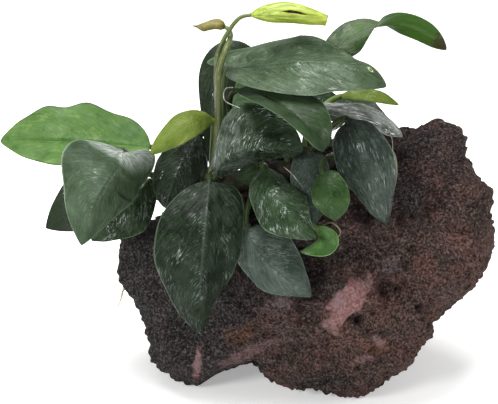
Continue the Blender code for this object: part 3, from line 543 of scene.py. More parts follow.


# Leaves. The first lines set out stalk and blade, as on the solid. foot is where the stalk leaves the stem:
# share along it, degrees round it. spine is the midrib's places, half the half width, and widest where along
# the blade it is reached. left and right are the tilt of each half in degrees, from base to tip, lobe is how
# far each half reaches back past the stalk, and bow how straight the stalk comes in.
# The rest is fine shape. wave is the rise and number of the margin's waves and where they start on the left
# and right, scallop the same in the plane of the blade. fold is the depth of folds along the veins, pucker
# how far the veins are sunk, uneven the depth of slow dents. creases are furrows along the blade (side,
# depth, width), ridges folds across it (share along, height, width). look is the finish, tone its lightness,
# which also holds painted light and shade: leaves that lie behind or under others are set darker, leaves with
# bright glints and rims lighter.
leaves = {
    "leaf_left_high": dict(
        foot=(0.16, 110), spine=((-39.5, 83, 31), (-60, 84.5, 31), (-80, 85.5, 32), (-99.5, 85.5, 29)),
        half=16.5, widest=0.47, left=(48, 54), right=(-25, -22),
        lobe=(3, 2), scallop=(0.055, 3.6, 0.05, 0.75), wave=(1.2, 2.2, 0.1, 0.45), fold=0.35, pucker=0.05,
        uneven=0.7,
        look="light"),
    "leaf_left_front": dict(
        foot=(0.08, 40), spine=((-51, 81.5, 66), (-54.6, 72.2, 73.5), (-60.3, 62.9, 74), (-67, 43.5, 70)),
        half=22.0, widest=0.40, left=(-16, -50, -54, -44, -25), right=(30, 9, -10, -19, -10),
        lobe=(14.6, 0.8), bow=0.06, wave=(0.6, 1.8, 0.2, 0.6), fold=0.75, pucker=0.06, uneven=0.9,
        ridges=((0.21, 1.5, 0.05),), look="grey", tone=0.95),
    "leaf_left_behind": dict(
        foot=(0.03, 140), spine=((-51, 69.5, 44), (-65.5, 60, 46), (-81.3, 50.5, 42)),
        half=12.5, widest=0.42, left=(-30, -30), right=(-10, -5),
        lobe=(1, 1), wave=(0.5, 1.5, 0.0, 0.5), fold=0.35, pucker=0.05, uneven=0.6,
        look="deep", tone=0.42),
    "leaf_left_low": dict(
        foot=(0.02, 20), spine=((-40.5, 69, 46), (-51.5, 57, 52), (-63, 45.5, 49.5)),
        half=14.0, widest=0.40, left=(-35, -25), right=(-20, -20),
        lobe=(3, 2), wave=(0.5, 2.0, 0.3, 0.8), fold=0.9, pucker=0.15, uneven=0.9,
        look="wet", tone=1.5),
    "leaf_young_left": dict(
        foot=(0.29, 110), spine=((-14.4, 93.5, 54), (-25.5, 91.5, 63), (-39.4, 80, 65)),
        half=5.9, widest=0.52, left=(10, 0), right=(-15, -30),
        lobe=(0, 0), bow=0.05, wave=(0.4, 1.6, 0.2, 0.5), fold=0.2, pucker=0.02, uneven=0.5,
        look="young", tone=0.85),
    "leaf_left_middle": dict(
        foot=(0.19, 55), spine=((-19.3, 88, 49.4), (-27, 76.3, 54), (-33.5, 58.5, 50.5)),
        half=11.2, widest=0.54, left=(-10, -11, -21, -28, -35), right=(-42, -39, -36, -21, -5),
        lobe=(1.1, 0.1), bow=0.12, wave=(0.5, 2.2, 0.1, 0.6), fold=1, pucker=0.15, uneven=1.0,
        look="wet", tone=0.6),
    "leaf_front_left": dict(
        foot=(0.33, 20), spine=((-16, 69.5, 74), (-17.8, 48.6, 90), (-19.5, 26.6, 91), (-19.5, 8, 84)),
        half=20.6, widest=0.41, left=(-12, -36, -49, -52, -53), right=(-8, -12, -18, -25, -33),
        lobe=(9, 0.8), wave=(0.6, 2.2, 0.0, 0.3), fold=0.7, pucker=0.2, uneven=0.9,
        creases=((-0.5, 1.3, 0.13), (0.66, 0.6, 0.12)), look="dark", tone=0.55),
    "leaf_centre": dict(
        foot=(0.375, 48),
        spine=((-13.5, 72, 69.2), (-6.5, 79.6, 78.6), (5.7, 82.9, 81.3), (21.5, 81, 79.3)),
        half=20.0, widest=0.55, left=(-47, -42, -22, -29, -29), right=(-54, -62, -72, -72, -64),
        lobe=(1.8, 8), wave=(0.5, 2.0, 0.4, 0.1), fold=0.9, pucker=0.08, uneven=1.1,
        creases=((-0.45, 1.0, 0.15),), look="silver", tone=1.2),
    "leaf_under_top": dict(
        foot=(0.46, 100), spine=((-4.5, 105.5, 66), (8.5, 102.5, 80), (21, 94, 90), (30.6, 82, 89)),
        half=12.0, widest=0.58, left=(-50, -20), right=(68, 66),
        lobe=(0, 0), wave=(0.4, 1.5, 0.2, 0.4), fold=0.35, pucker=0.04, uneven=0.6,
        look="medium", tone=0.55),
    "leaf_top_large": dict(
        foot=(0.425, 70), spine=((-8, 114, 60), (12.2, 116.3, 73), (34.7, 115.7, 80), (55, 107, 80)),
        half=16.3, widest=0.47, left=(-70, -54, -48, -66, -66, -57), right=(68, 56, 41, 31, 38, 52),
        lobe=(24, 2), bow=0.1, wave=(0.7, 1.7, 0.3, 0.1), fold=0.9, pucker=0.06, uneven=0.9,
        creases=((-0.4, 1.2, 0.12), (0.35, 0.8, 0.12)), look="satin", tone=1.0),
    "leaf_back_left": dict(
        foot=(0.38, 120), spine=((3.5, 115, 38), (-9.2, 117.4, 42), (-13.7, 103, 44), (-15.4, 74.5, 42)),
        half=8.4, widest=0.44, left=(-42, -6, 19, 28, 8), right=(-7, -15, -26, -28, -16),
        lobe=(2.7, 2.9), wave=(0.3, 1.5, 0.0, 0.5), fold=0.3, pucker=0.04, uneven=0.5,
        look="deep", tone=0.38),
    "leaf_top_right": dict(
        foot=(0.68, 125), spine=((26, 112, 60), (44.3, 129.1, 64), (62.1, 131.5, 62), (79.1, 121.8, 60)),
        half=8.8, widest=0.49, left=(0, -15, -57, -79, -110, -138, -162),
        right=(-45, -9, 55, 107, 130, 158, 170),
        lobe=(0, 0), wave=(0.8, 2.0, 0.6, 0.1), fold=0.35, pucker=0.05, uneven=0.5,
        look="tipped", tone=0.9),
    "leaf_right_hanging": dict(
        foot=(0.92, 60), spine=((39.5, 94, 72), (44.5, 80, 83), (49.5, 66, 84), (55, 52, 80)),
        half=14.0, widest=0.38, left=(-22, -22), right=(-45, -40),
        lobe=(3, 8), wave=(0.5, 2.0, 0.2, 0.6), fold=0.8, pucker=0.1, uneven=0.9,
        look="hanging"),
    "leaf_right_flat": dict(
        foot=(0.86, 90), spine=((27.5, 99.5, 56), (40.5, 98, 58), (52.5, 94, 58), (61.5, 87, 56)),
        half=11.0, widest=0.45, left=(-77, -66), right=(72, 60),
        lobe=(2, 2), wave=(0.5, 1.8, 0.4, 0.2), fold=0.5, pucker=0.14, uneven=0.5,
        look="lilac", tone=1.6),
    "leaf_young_right": dict(
        foot=(0.82, 115), spine=((37, 103.3, 38.5), (48.5, 103.8, 41), (60, 99.8, 39)),
        half=3.2, widest=0.45, left=(-40, -30), right=(30, 30),
        lobe=(0, 0), wave=(0.2, 1.5, 0.2, 0.5), fold=0.15, pucker=0.02, uneven=0.3,
        look="young"),
    "leaf_small_oval": dict(
        foot=(0.98, 10), spine=((29.3, 73, 82), (33, 63, 88), (34.4, 53.2, 87)),
        half=8.0, widest=0.45, left=(-20, -20), right=(-15, -15),
        lobe=(2, 1), wave=(0.3, 1.5, 0.1, 0.6), fold=0.4, pucker=0.04, uneven=0.5,
        look="fresh", tone=0.85),
    "leaf_front_middle": dict(
        foot=(0.60, 35), spine=((6.5, 75, 66), (10.5, 64, 82), (17, 54.5, 88), (27, 46.5, 87)),
        half=12.5, widest=0.42, left=(-35, -35), right=(-25, -25),
        lobe=(3, 5), wave=(0.4, 2.0, 0.4, 0.0), fold=0.9, pucker=0.16, uneven=0.9,
        look="wet", tone=1.8),
    "leaf_front_low": dict(
        foot=(0.56, -20), spine=((-1, 51, 71), (4.5, 40.5, 77), (14, 31, 79), (25, 23, 77)),
        half=13.5, widest=0.40, left=(-15, -15), right=(-42, -42),
        lobe=(3, 2), wave=(0.5, 1.8, 0.5, 0.1), fold=0.6, pucker=0.1, uneven=0.8,
        look="blue", tone=1.3),
    "leaf_low_right": dict(
        foot=(0.62, -10), spine=((27, 50.5, 80), (31, 44.5, 82), (20.5, 41, 80)),
        half=4.6, widest=0.45, left=(15, 10), right=(-30, -20),
        lobe=(0, 0), wave=(0.2, 1.5, 0.0, 0.5), fold=0.2, pucker=0.03, uneven=0.3,
        look="fresh", tone=2.4),
    "leaf_middle_behind": dict(
        foot=(0.74, 50), spine=((24, 81, 68), (25, 66, 72.5), (25.5, 51, 73.5)),
        half=9.0, widest=0.40, left=(-20, -20), right=(-20, -20),
        lobe=(3, 3), wave=(0.3, 1.8, 0.1, 0.4), fold=0.6, pucker=0.16, uneven=0.6,
        look="blue", tone=1.15),
    "leaf_tucked": dict(
        foot=(0.52, 60), spine=((3.2, 75.6, 61.4), (-0.7, 72.9, 62.2), (-5, 70.3, 61.8)),
        half=4.8, widest=0.45, left=(0, 0), right=(-45, -50),
        lobe=(0, 0), wave=(0.2, 1.5, 0.0, 0.5), fold=0.2, pucker=0.04, uneven=0.3,
        look="deep"),
    "leaf_rear_high": dict(
        foot=(0.55, 140), spine=((5, 92, 36), (20, 101, 28), (38, 100, 16)),
        half=13.0, widest=0.40, left=(-35, -30), right=(30, 30),
        lobe=(0, 0), wave=(0.6, 2.0, 0.1, 0.6), fold=0.7, pucker=0.1, uneven=0.9,
        look="dark"),
    "leaf_rear_left": dict(
        foot=(0.20, 150), spine=((-9, 90, 36), (-5, 102, 22), (3, 110, 6)),
        half=11.0, widest=0.40, left=(-20, -20), right=(15, 15),
        lobe=(3, 3), wave=(0.5, 2.0, 0.3, 0.0), fold=0.6, pucker=0.1, uneven=0.8,
        look="medium"),
    "leaf_rear_right": dict(
        foot=(0.97, 95), spine=((37, 93, 36), (46, 98, 20), (56, 93.5, 0)),
        half=10.0, widest=0.40, left=(-50, -50), right=(45, 45),
        lobe=(3, 3), wave=(0.5, 2.0, 0.0, 0.4), fold=0.6, pucker=0.1, uneven=0.8,
        look="dark"),
}

# What all leaves share.
leafShape = {
    "fullness": 1.45, "lobeEnd": 0.4, "bow": 0.3, "scallop": (0.015, 3.0, 0.2, 0.6),
    "tip": 0.988,                                   # share of the spine that the last ring stands at
    "grain": 0.6, "most": (110, 66),                # mm between points, most points along and across
    "thickness": 0.6, "stalkRadius": 1.1, "stalkSteps": 22,
    "veins": 11.0, "sweep": 0.42, "curve": 1.25,    # number of side veins, how far and how they sweep forward
    "groove": 0.3,                                  # depth of the midrib
    # folds and wrinkles that run out along the veins: cells along, cells across, share of the leaf's fold
    "folds": ((3.2, 1.3, 1.0), (8.0, 2.2, 0.34), (19.0, 3.5, 0.13)),
}


def bladeSheet(leaf, along, side):
    # spine polynomial, plus side times the width, turned by each half's own tilt, minus the lobes' reach back
    spine = through(leaf["spine"], along)
    ahead = unit(through(leaf["spine"], along + 0.002) - through(leaf["spine"], along - 0.002))
    right = unit(np.stack([ahead[..., 1], -ahead[..., 0], 0 * along], axis=-1))
    facing = np.cross(ahead, right)
    facing = facing * np.where(facing[..., 2:] < 0, -1, 1)
    onLeft = side < 0
    angles = [np.interp(along, np.linspace(0, 1, len(leaf[half])), leaf[half]) for half in ("left", "right")]
    ease = np.clip(np.abs(side) * 9, 0, 1)
    level = 0.5 * (angles[0] + angles[1])
    tilt = np.radians(level + (np.where(onLeft, *angles) - level) * ease)
    width = bladeWidth(leaf, along) * marginScallop(leaf, along, side)
    sideways = (side * width * np.cos(tilt))[..., None] * right
    nearer = (np.abs(side) * width * np.sin(tilt))[..., None] * facing
    # 6.75 brings the top of part * (1 - part)^2 to 1
    part = np.clip(along / leafShape["lobeEnd"], 0, 1)
    back = np.where(onLeft, *leaf["lobe"]) * 6.75 * part * (1 - part) ** 2 * side**2
    return spine + sideways + nearer - back[..., None] * ahead, facing


def marginScallop(leaf, along, side):
    # a slow in-and-out of the margin itself: share of the width, waves along, start on the left and right
    rise, count, leftStart, rightStart = leaf.get("scallop", leafShape["scallop"])
    start = np.where(side < 0, leftStart, rightStart)
    return 1 + rise * side**2 * np.sin(2 * math.pi * (count * along + start)) * np.clip((1 - along) * 6, 0, 1)


def bladeWidth(leaf, along):
    # half width: t^p (1-t)^q with its top at widest, never thinner than the stalk running out into the midrib
    widest = leaf["widest"]
    full = leafShape["fullness"]
    inside = np.clip(along, 1e-6, 1 - 1e-6)
    rise = (inside / widest) ** (full * widest) * ((1 - inside) / (1 - widest)) ** (full * (1 - widest))
    return np.hypot(leaf["half"] * rise, leafShape["stalkRadius"] * (1 - along))


def veinPhase(along, side):
    # side veins leave the midrib and sweep towards the tip
    return along - leafShape["sweep"] * np.abs(side) ** leafShape["curve"]


def bladeRelief(leaf, along, side, sheet, seed):
    # height over the plain sheet: margin waves that grow outwards, folds and wrinkles along the veins, sunk
    # veins that come and go, dents, creases and ridges as bell curves, and the groove of the midrib
    outer = np.abs(side)
    rise, count, leftStart, rightStart = leaf["wave"]
    start = np.where(side < 0, leftStart, rightStart)
    ends = np.clip(np.minimum(along, 1 - along) * 7, 0, 1)
    relief = rise * outer**2.6 * np.sin(2 * math.pi * (count * along + start)) * ends
    phase = veinPhase(along, side)
    offMidrib = np.clip(outer * 6, 0, 1)
    for index, (alongCells, acrossCells, share) in enumerate(leafShape["folds"]):
        cell = np.stack([phase * alongCells, side * acrossCells, 0 * side + seed], axis=-1)
        relief = relief + leaf["fold"] * share * ends * offMidrib * bumps(cell, 1.0, seed + 2 + index)
    shift = 0.35 * bumps(sheet, 11.0, seed + 7)
    part = np.abs((phase * leafShape["veins"] + shift) % 1 - 0.5) * 2
    clear = np.clip(0.35 + 1.2 * bumps(sheet, 10.0, seed + 8), 0, 1)
    strength = ends * offMidrib * np.clip((1 - outer) * 3, 0, 1) * clear
    relief = relief - leaf["pucker"] * strength * np.exp(-(((1 - part) / 0.22) ** 2))
    relief = relief + leaf["uneven"] * ends * 0.6 * bumps(sheet, 9.0, seed + 1)
    for where, depth, width in leaf.get("creases", ()):
        furrow = np.exp(-(((side - where) / width) ** 2)) * np.clip((0.66 - along) * 5, 0, 1)
        relief = relief - depth * ends * furrow
    for where, height, width in leaf.get("ridges", ()):
        relief = relief + height * np.exp(-(((along - where) / width) ** 2)) * np.clip((1 - outer) * 4, 0, 1)
    middle = np.exp(-((side * bladeWidth(leaf, along) / 0.8) ** 2))
    return relief - leafShape["groove"] * middle * np.clip(along * 12, 0, 1) * np.clip((1 - along) * 4, 0, 1)


def surfaceNormals(grid):
    # the cross product of a grid's two directions at each of its points
    lengthwise = np.gradient(grid, axis=0)
    crosswise = np.gradient(grid, axis=1)
    return unit(np.cross(crosswise, lengthwise))


def stalkAxis(leaf, t):
    # a bezier from the creeping stem, out along its foot, then in line with the blade
    centre, front, over = rhizomeAxis(leaf["foot"][0])
    turn = math.radians(leaf["foot"][1])
    outward = math.cos(turn) * front + math.sin(turn) * over
    start = centre + outward * (rhizome["radius"] + rhizome["gap"])
    spine = np.array(leaf["spine"], float)
    ahead = unit(through(spine, np.array(0.01)) - spine[0])
    reach = np.linalg.norm(spine[0] - start)
    bow = leaf.get("bow", leafShape["bow"])
    handles = [start, start + outward * reach * 0.35, spine[0] - ahead * reach * bow, spine[0]]
    weights = [(1 - t) ** 3, 3 * t * (1 - t) ** 2, 3 * t * t * (1 - t), t**3]
    axis = sum(weight * handle for weight, handle in zip(weights, handles))
    slopes = [(1 - t) ** 2, 2 * t * (1 - t), t * t]
    tangent = unit(sum(w * (b - a) for w, a, b in zip(slopes, handles[:-1], handles[1:])))
    return axis, tangent, ahead


def makeLeaf(name, leaf, seed):
    # one closed skin: rings round the stalk, then rings over the blade's upper side and back under it
    midrib = through(leaf["spine"], np.linspace(0, 1, 60))
    spineLength = np.sum(np.linalg.norm(np.diff(midrib, axis=0), axis=1))
    mostAlong, mostAcross = leafShape["most"]
    alongCount = int(np.clip(spineLength / leafShape["grain"], 30, mostAlong))
    sideCount = int(np.clip(2 * leaf["half"] / leafShape["grain"], 12, mostAcross)) // 2 * 2
    stations = leafShape["tip"] * np.linspace(0, 1, alongCount) ** 1.12
    sides = np.sin(np.linspace(-1, 1, sideCount + 1) * 1.35) / math.sin(1.35)
    along, side = np.meshgrid(stations, sides, indexing="ij")
    sheet, facing = bladeSheet(leaf, along, side)
    normal = surfaceNormals(sheet)
    normal = normal * np.sign(np.sum(normal * facing, axis=-1).mean())
    sheet = sheet + normal * bladeRelief(leaf, along, side, sheet, seed)[..., None]
    normal = surfaceNormals(sheet)
    normal = normal * np.sign(np.sum(normal * facing, axis=-1).mean())
    # half thickness: thin towards the margin, with the stalk running on as a tapering rib below
    margin = np.sqrt(np.clip((1 - np.abs(side)) / 0.07, 0, 1))
    thin = 0.5 * leafShape["thickness"] * (1 - 0.45 * np.abs(side)) * margin
    radius = leafShape["stalkRadius"] * (1 - 0.72 * along**0.5)
    rib = radius * np.sqrt(np.clip(1 - (side * bladeWidth(leaf, along) / radius) ** 2, 0, 1))
    fadeIn = np.clip(1 - along / 0.05, 0, 1)
    upper = sheet + normal * np.maximum(thin, rib * fadeIn)[..., None]
    lower = sheet - normal * np.maximum(thin, rib)[..., None]
    blade = np.concatenate([upper, lower[:, -2:0:-1]], axis=1)
    ringSides = np.concatenate([sides, sides[-2:0:-1]])
    # the stalk, with the same number of points round it
    t = np.linspace(0, 1, leafShape["stalkSteps"], endpoint=False)[:, None]
    axis, tangent, ahead = stalkAxis(leaf, t)
    right = unit(np.array([ahead[1], -ahead[0], 0.0]))
    swell = 1 + 0.5 * np.exp(-t[:, 0] / 0.06) + 0.12 * np.exp(-(((t[:, 0] - 0.93) / 0.05) ** 2))
    face = np.sqrt(np.clip(1 - ringSides**2, 0, 1)) * np.where(np.arange(len(ringSides)) <= sideCount, 1, -1)
    rings = []
    for centre, forward, wide in zip(axis[::-1], tangent[::-1], swell[::-1]):
        right = unit(right - forward * (right @ forward))
        over = np.cross(right, forward)
        over = over if over @ facing[0, sideCount // 2] > 0 or rings else over
        ring = ringSides[:, None] * right + face[:, None] * over
        rings.append(centre + leafShape["stalkRadius"] * wide * ring)
    stalk = np.array(rings[::-1])
    tip, _ = bladeSheet(leaf, np.array([1.0]), np.array([0.0]))
    rows = place(np.concatenate([stalk, blade]))
    ringAlong = np.concatenate([-1 + t[:, 0], stations])
    uvGrid = np.stack(np.broadcast_arrays((ringSides[None, :] + 1) / 2, ringAlong[:, None]), axis=-1)
    uv = np.concatenate([uvGrid.reshape(-1, 2), [[0.5, -1], [0.5, 1]]])
    under = np.broadcast_to((np.arange(len(ringSides)) > sideCount).astype(float), uvGrid.shape[:2])
    under = np.append(under.ravel(), [0, 0])
    tone = np.full(len(under), leaf.get("tone", 1.0))
    values = (("under", under), ("tone", tone))
    return loftPiece(pieceName(name), rows, place(axis[0]), place(tip[0]), values, uv)


def pieceName(node):
    # leaf_low_right becomes leafLowRight
    words = node.split("_")
    return words[0] + "".join(word.capitalize() for word in words[1:])


# The finish of each kind of leaf, in linear colours: upper and under side, dark patches, pale patches that
# are partly the leaf's own mottling and partly a painted sheen, veins and margin. rough is for its wet and
# its dull spots, veins how strongly the side veins show, wrinkle the depth of the wrinkles in mm, streak and
# its strength the colour and strength of its light hairlines, which are painted highlights, coat and shine
# its gloss. On the dark look the veins are light lines, a painted reflection. Some have a base half or a tip
# of another colour, where the silver base is a painted sheen, a painted sheen over the lobes with painted
# shade in the hollow behind them, a nick at (side, along), or wrinkles that run lengthwise and not along the
# veins.
leafLooks = {
    "light": dict(
        upper=(0.058, 0.128, 0.024), patch=(0.026, 0.078, 0.010), pale=(0.125, 0.205, 0.058),
        under=(0.07, 0.15, 0.04), vein=(0.036, 0.090, 0.014), margin=(0.022, 0.050, 0.008),
        rough=(0.40, 0.60), veins=0.05, wrinkle=0.10, streak=(0.12, 0.20, 0.08), paintedGlints=0.10,
        coat=0.1),
    "grey": dict(
        upper=(0.048, 0.078, 0.042), patch=(0.026, 0.048, 0.020), pale=(0.085, 0.125, 0.075),
        under=(0.04, 0.09, 0.03), vein=(0.012, 0.024, 0.010), margin=(0.190, 0.260, 0.170),
        rough=(0.30, 0.48), veins=0.15, wrinkle=0.28, streak=(0.20, 0.26, 0.19), paintedGlints=0.35,
        coat=0.3, lobeSheen=(0.42, 0.46, 0.42)),
    "deep": dict(
        upper=(0.020, 0.044, 0.012), patch=(0.009, 0.024, 0.005), pale=(0.034, 0.066, 0.020),
        under=(0.025, 0.05, 0.02), vein=(0.010, 0.024, 0.006), margin=(0.04, 0.08, 0.03),
        rough=(0.30, 0.46), veins=0.25, wrinkle=0.30, streak=(0.08, 0.12, 0.07), paintedGlints=0.25),
    "wet": dict(
        upper=(0.018, 0.034, 0.014), patch=(0.007, 0.016, 0.005), pale=(0.050, 0.070, 0.045),
        under=(0.025, 0.05, 0.02), vein=(0.010, 0.020, 0.008), margin=(0.07, 0.11, 0.06),
        rough=(0.16, 0.36), veins=0.30, wrinkle=0.80, streak=(0.30, 0.36, 0.33), paintedGlints=0.70,
        coat=1.0),
    # silver: its base colour is a painted sheen over the half towards the stalk
    "silver": dict(
        upper=(0.016, 0.030, 0.013), patch=(0.006, 0.014, 0.005), pale=(0.045, 0.064, 0.042),
        under=(0.025, 0.05, 0.02), vein=(0.010, 0.020, 0.008), margin=(0.05, 0.09, 0.045),
        rough=(0.16, 0.36), veins=0.20, wrinkle=0.70, streak=(0.34, 0.40, 0.37), paintedGlints=0.70,
        coat=1.0, base=(0.066, 0.084, 0.066)),
    "dark": dict(
        upper=(0.013, 0.028, 0.011), patch=(0.004, 0.011, 0.003), pale=(0.034, 0.054, 0.032),
        under=(0.025, 0.05, 0.02), vein=(0.075, 0.100, 0.074), margin=(0.10, 0.15, 0.09),
        rough=(0.24, 0.42), veins=0.70, wrinkle=0.50, streak=(0.20, 0.25, 0.21), paintedGlints=0.60,
        coat=0.3, shine=0.12),
    "medium": dict(
        upper=(0.032, 0.068, 0.022), patch=(0.014, 0.036, 0.009), pale=(0.060, 0.112, 0.045),
        under=(0.03, 0.07, 0.03), vein=(0.014, 0.034, 0.010), margin=(0.14, 0.24, 0.12),
        rough=(0.28, 0.44), veins=0.20, wrinkle=0.26, streak=(0.13, 0.19, 0.12), paintedGlints=0.30),
    "satin": dict(
        upper=(0.044, 0.073, 0.036), patch=(0.022, 0.042, 0.017), pale=(0.090, 0.125, 0.078),
        under=(0.035, 0.07, 0.03), vein=(0.020, 0.038, 0.016), margin=(0.08, 0.12, 0.07),
        rough=(0.26, 0.44), veins=0.15, wrinkle=0.34, streak=(0.22, 0.27, 0.21), paintedGlints=0.50,
        nick=(-0.45, 0.87)),
    "tipped": dict(
        upper=(0.027, 0.082, 0.006), patch=(0.015, 0.050, 0.003), pale=(0.050, 0.122, 0.013),
        under=(0.040, 0.105, 0.012), vein=(0.014, 0.040, 0.007), margin=(0.012, 0.026, 0.006),
        rough=(0.34, 0.50), veins=0.25, wrinkle=0.24, streak=(0.20, 0.24, 0.16), paintedGlints=0.30,
        base=(0.085, 0.118, 0.066), tip=(0.034, 0.018, 0.008)),
    "blue": dict(
        upper=(0.034, 0.050, 0.038), patch=(0.014, 0.024, 0.016), pale=(0.068, 0.090, 0.076),
        under=(0.025, 0.05, 0.02), vein=(0.014, 0.024, 0.017), margin=(0.10, 0.14, 0.11),
        rough=(0.20, 0.44), veins=0.30, wrinkle=0.50, streak=(0.17, 0.21, 0.19), paintedGlints=0.50),
    "hanging": dict(
        upper=(0.036, 0.050, 0.038), patch=(0.012, 0.021, 0.013), pale=(0.062, 0.082, 0.068),
        under=(0.025, 0.05, 0.02), vein=(0.014, 0.024, 0.017), margin=(0.10, 0.14, 0.11),
        rough=(0.18, 0.42), veins=0.10, wrinkle=0.60, streak=(0.22, 0.27, 0.25), paintedGlints=0.50,
        coat=0.8, base=(0.013, 0.022, 0.015), lengthwise=True),
    # lilac: its pale patches and white streaks are painted sheen and highlights
    "lilac": dict(
        upper=(0.100, 0.112, 0.098), patch=(0.022, 0.028, 0.022), pale=(0.340, 0.350, 0.350),
        under=(0.08, 0.10, 0.08), vein=(0.030, 0.036, 0.034), margin=(0.25, 0.28, 0.24),
        rough=(0.26, 0.46), veins=0.0, wrinkle=0.60, streak=(0.55, 0.55, 0.55), paintedGlints=1.00,
        lengthwise=True),
    "fresh": dict(
        upper=(0.026, 0.062, 0.014), patch=(0.010, 0.028, 0.005), pale=(0.055, 0.100, 0.036),
        under=(0.03, 0.09, 0.02), vein=(0.010, 0.030, 0.006), margin=(0.12, 0.22, 0.08),
        rough=(0.24, 0.42), veins=0.20, wrinkle=0.30, streak=(0.14, 0.20, 0.12), paintedGlints=0.35),
    "young": dict(
        upper=(0.120, 0.175, 0.020), patch=(0.066, 0.110, 0.008), pale=(0.210, 0.260, 0.060),
        under=(0.18, 0.29, 0.08), vein=(0.070, 0.125, 0.014), margin=(0.34, 0.36, 0.12),
        rough=(0.34, 0.50), veins=0.20, wrinkle=0.16, streak=(0.30, 0.34, 0.14), paintedGlints=0.30),
}

leafColours = {
    "stalk": (0.036, 0.054, 0.016), "youngStalk": (0.10, 0.15, 0.03), "nickRim": (0.50, 0.58, 0.30),
}


def leafFinish(name, look):
    f = Finish(name)
    side, along = f.bladePlace()
    outer = side.calc("ABSOLUTE")
    phase = along - (outer ** leafShape["curve"]) * leafShape["sweep"]
    # veins, and noise that is drawn out along them or lengthwise
    wander = f.noise(11.0, 1)
    lines = phase * leafShape["veins"] + wander * 0.9
    main = 1 - f.step(lines.calc("PINGPONG", 0.5), 0.01, 0.09)
    fine = 1 - f.step((lines * 4.0).calc("PINGPONG", 0.5), 0.05, 0.32)
    if "lengthwise" in look:
        streak = f.spaceNoise(along * 5.0, side * 10.0, wander * 3.0, 3.0)
        hair = f.spaceNoise(along * 8.0, side * 24.0, wander * 7.0, 2.0)
    else:
        streak = f.spaceNoise(phase * 34.0, side * 5.0, wander * 3.0, 3.0)
        hair = f.spaceNoise(phase * 74.0, side * 9.0, wander * 7.0, 2.0)
    blotch = f.noise(8.0, 3, 0.6)
    fleck = f.noise(1.5, 3, 0.65)
    tone = look["upper"]
    # a base half of another colour; on the silver look it is a painted sheen
    if "base" in look:
        tone = f.mix(f.step(along, 0.40, 0.52), look["base"], tone)
    colour = f.mix(f.step(blotch + (streak - 0.5) * 0.25, 0.50, 0.36) * 0.8, tone, look["patch"])
    # pale patches, partly the leaf's own mottling and partly a painted sheen
    colour = f.mix(f.step(blotch * 0.5 + fleck * 0.2 + streak * 0.3, 0.51, 0.63) * 0.8, colour, look["pale"])
    midrib = (1 - f.step(outer, 0.012, 0.04)) * f.step(along, 0.95, 0.6)
    reach = f.step(outer, 0.95, 0.25) * f.step(blotch, 0.40, 0.60)
    veins = f.maths("MAXIMUM", main, fine * 0.45) * reach * look["veins"]
    # veins and midrib in the vein colour, darker than the blade on most looks; on the dark look they are
    # light lines, a painted reflection along the veins
    colour = f.mix(f.maths("MAXIMUM", veins, midrib * 0.6), colour, look["vein"])
    # painted highlights: light streaks where a wrinkle would catch the light, gathered in wet spots, with
    # painted shade in the dark hairlines next to them; the coat's gloss follows the same streaks
    spots = f.step(f.noise(7.0, 2, 0.55), 0.46, 0.62)
    gleam = f.step(hair, 0.50, 0.62) * spots
    colour = f.mix(f.step(hair, 0.56, 0.66) * spots * look["paintedGlints"], colour, look["streak"])
    colour = f.mix(f.step(hair, 0.44, 0.34) * spots * look["paintedGlints"], colour, look["patch"])
    colour = f.mix(f.step(outer, 0.955, 0.985), colour, look["margin"])
    colour = f.mix(f.step(f.number("under"), 0.3, 0.7), colour, look["under"])
    if "nick" in look:
        # a small hole with a pale rim
        sideSpot, alongSpot = look["nick"]
        apart = ((side - sideSpot) * 11.0) ** 2.0 + ((along - alongSpot) * 46.0) ** 2.0
        colour = f.mix(f.step(apart + (fleck - 0.5) * 3.0, 1.5, 0.7), colour, leafColours["nickRim"])
        colour = f.mix(f.step(apart + (fleck - 0.5) * 2.0, 0.45, 0.25), colour, look["patch"])
    if "tip" in look:
        brown = f.step(along + (blotch - 0.5) * 0.3 + (fleck - 0.5) * 0.5, 0.88, 0.95)
        colour = f.mix(brown * 0.85, colour, look["tip"])
    stalk = f.step(along, 0.02, -0.01)
    colour = f.mix(stalk, colour, leafColours["youngStalk" if name == "leafYoung" else "stalk"])
    # each leaf's lightness, partly its own and partly painted light and shade: below 1 on leaves behind or
    # under others, above 1 on leaves with bright glints and rims
    colour = f.mix(1.0, colour, f.number("tone"), "MULTIPLY")
    if "lobeSheen" in look:
        # painted sheen over the lobes, and painted shade in the hollow behind them
        lobeSheenMask = f.step(along + (streak - 0.5) * 0.12, 0.20, 0.06)
        colour = f.mix(lobeSheenMask * (f.step(hair, 0.40, 0.58) * 0.6 + 0.3) * (1 - stalk), colour, look["lobeSheen"])
        hollowShade = f.step(along, 0.14, 0.22) * f.step(along + (blotch - 0.5) * 0.2, 0.36, 0.24)
        colour = f.mix(hollowShade * 0.5, colour, look["patch"])
    wet, dull = look["rough"]
    dry = f.step(f.noise(4.5, 3, 0.6) * 0.7 + streak * 0.3, 0.42, 0.60)
    roughness = f.clamp(dry * (dull - wet) + wet)
    creases = f.noise(2.3, 4, 0.62)
    height = creases * 0.7 + streak * 0.8 + hair * 0.35 - main * 0.25 - fine * 0.12
    gloss = {"Specular IOR Level": look.get("shine", 0.18), "Coat Roughness": 0.14,
             "Coat Weight": gleam * look.get("coat", 0.4) * (1 - stalk)}
    return f.finishWith(colour, roughness, height * (1 - stalk), look["wrinkle"], gloss)


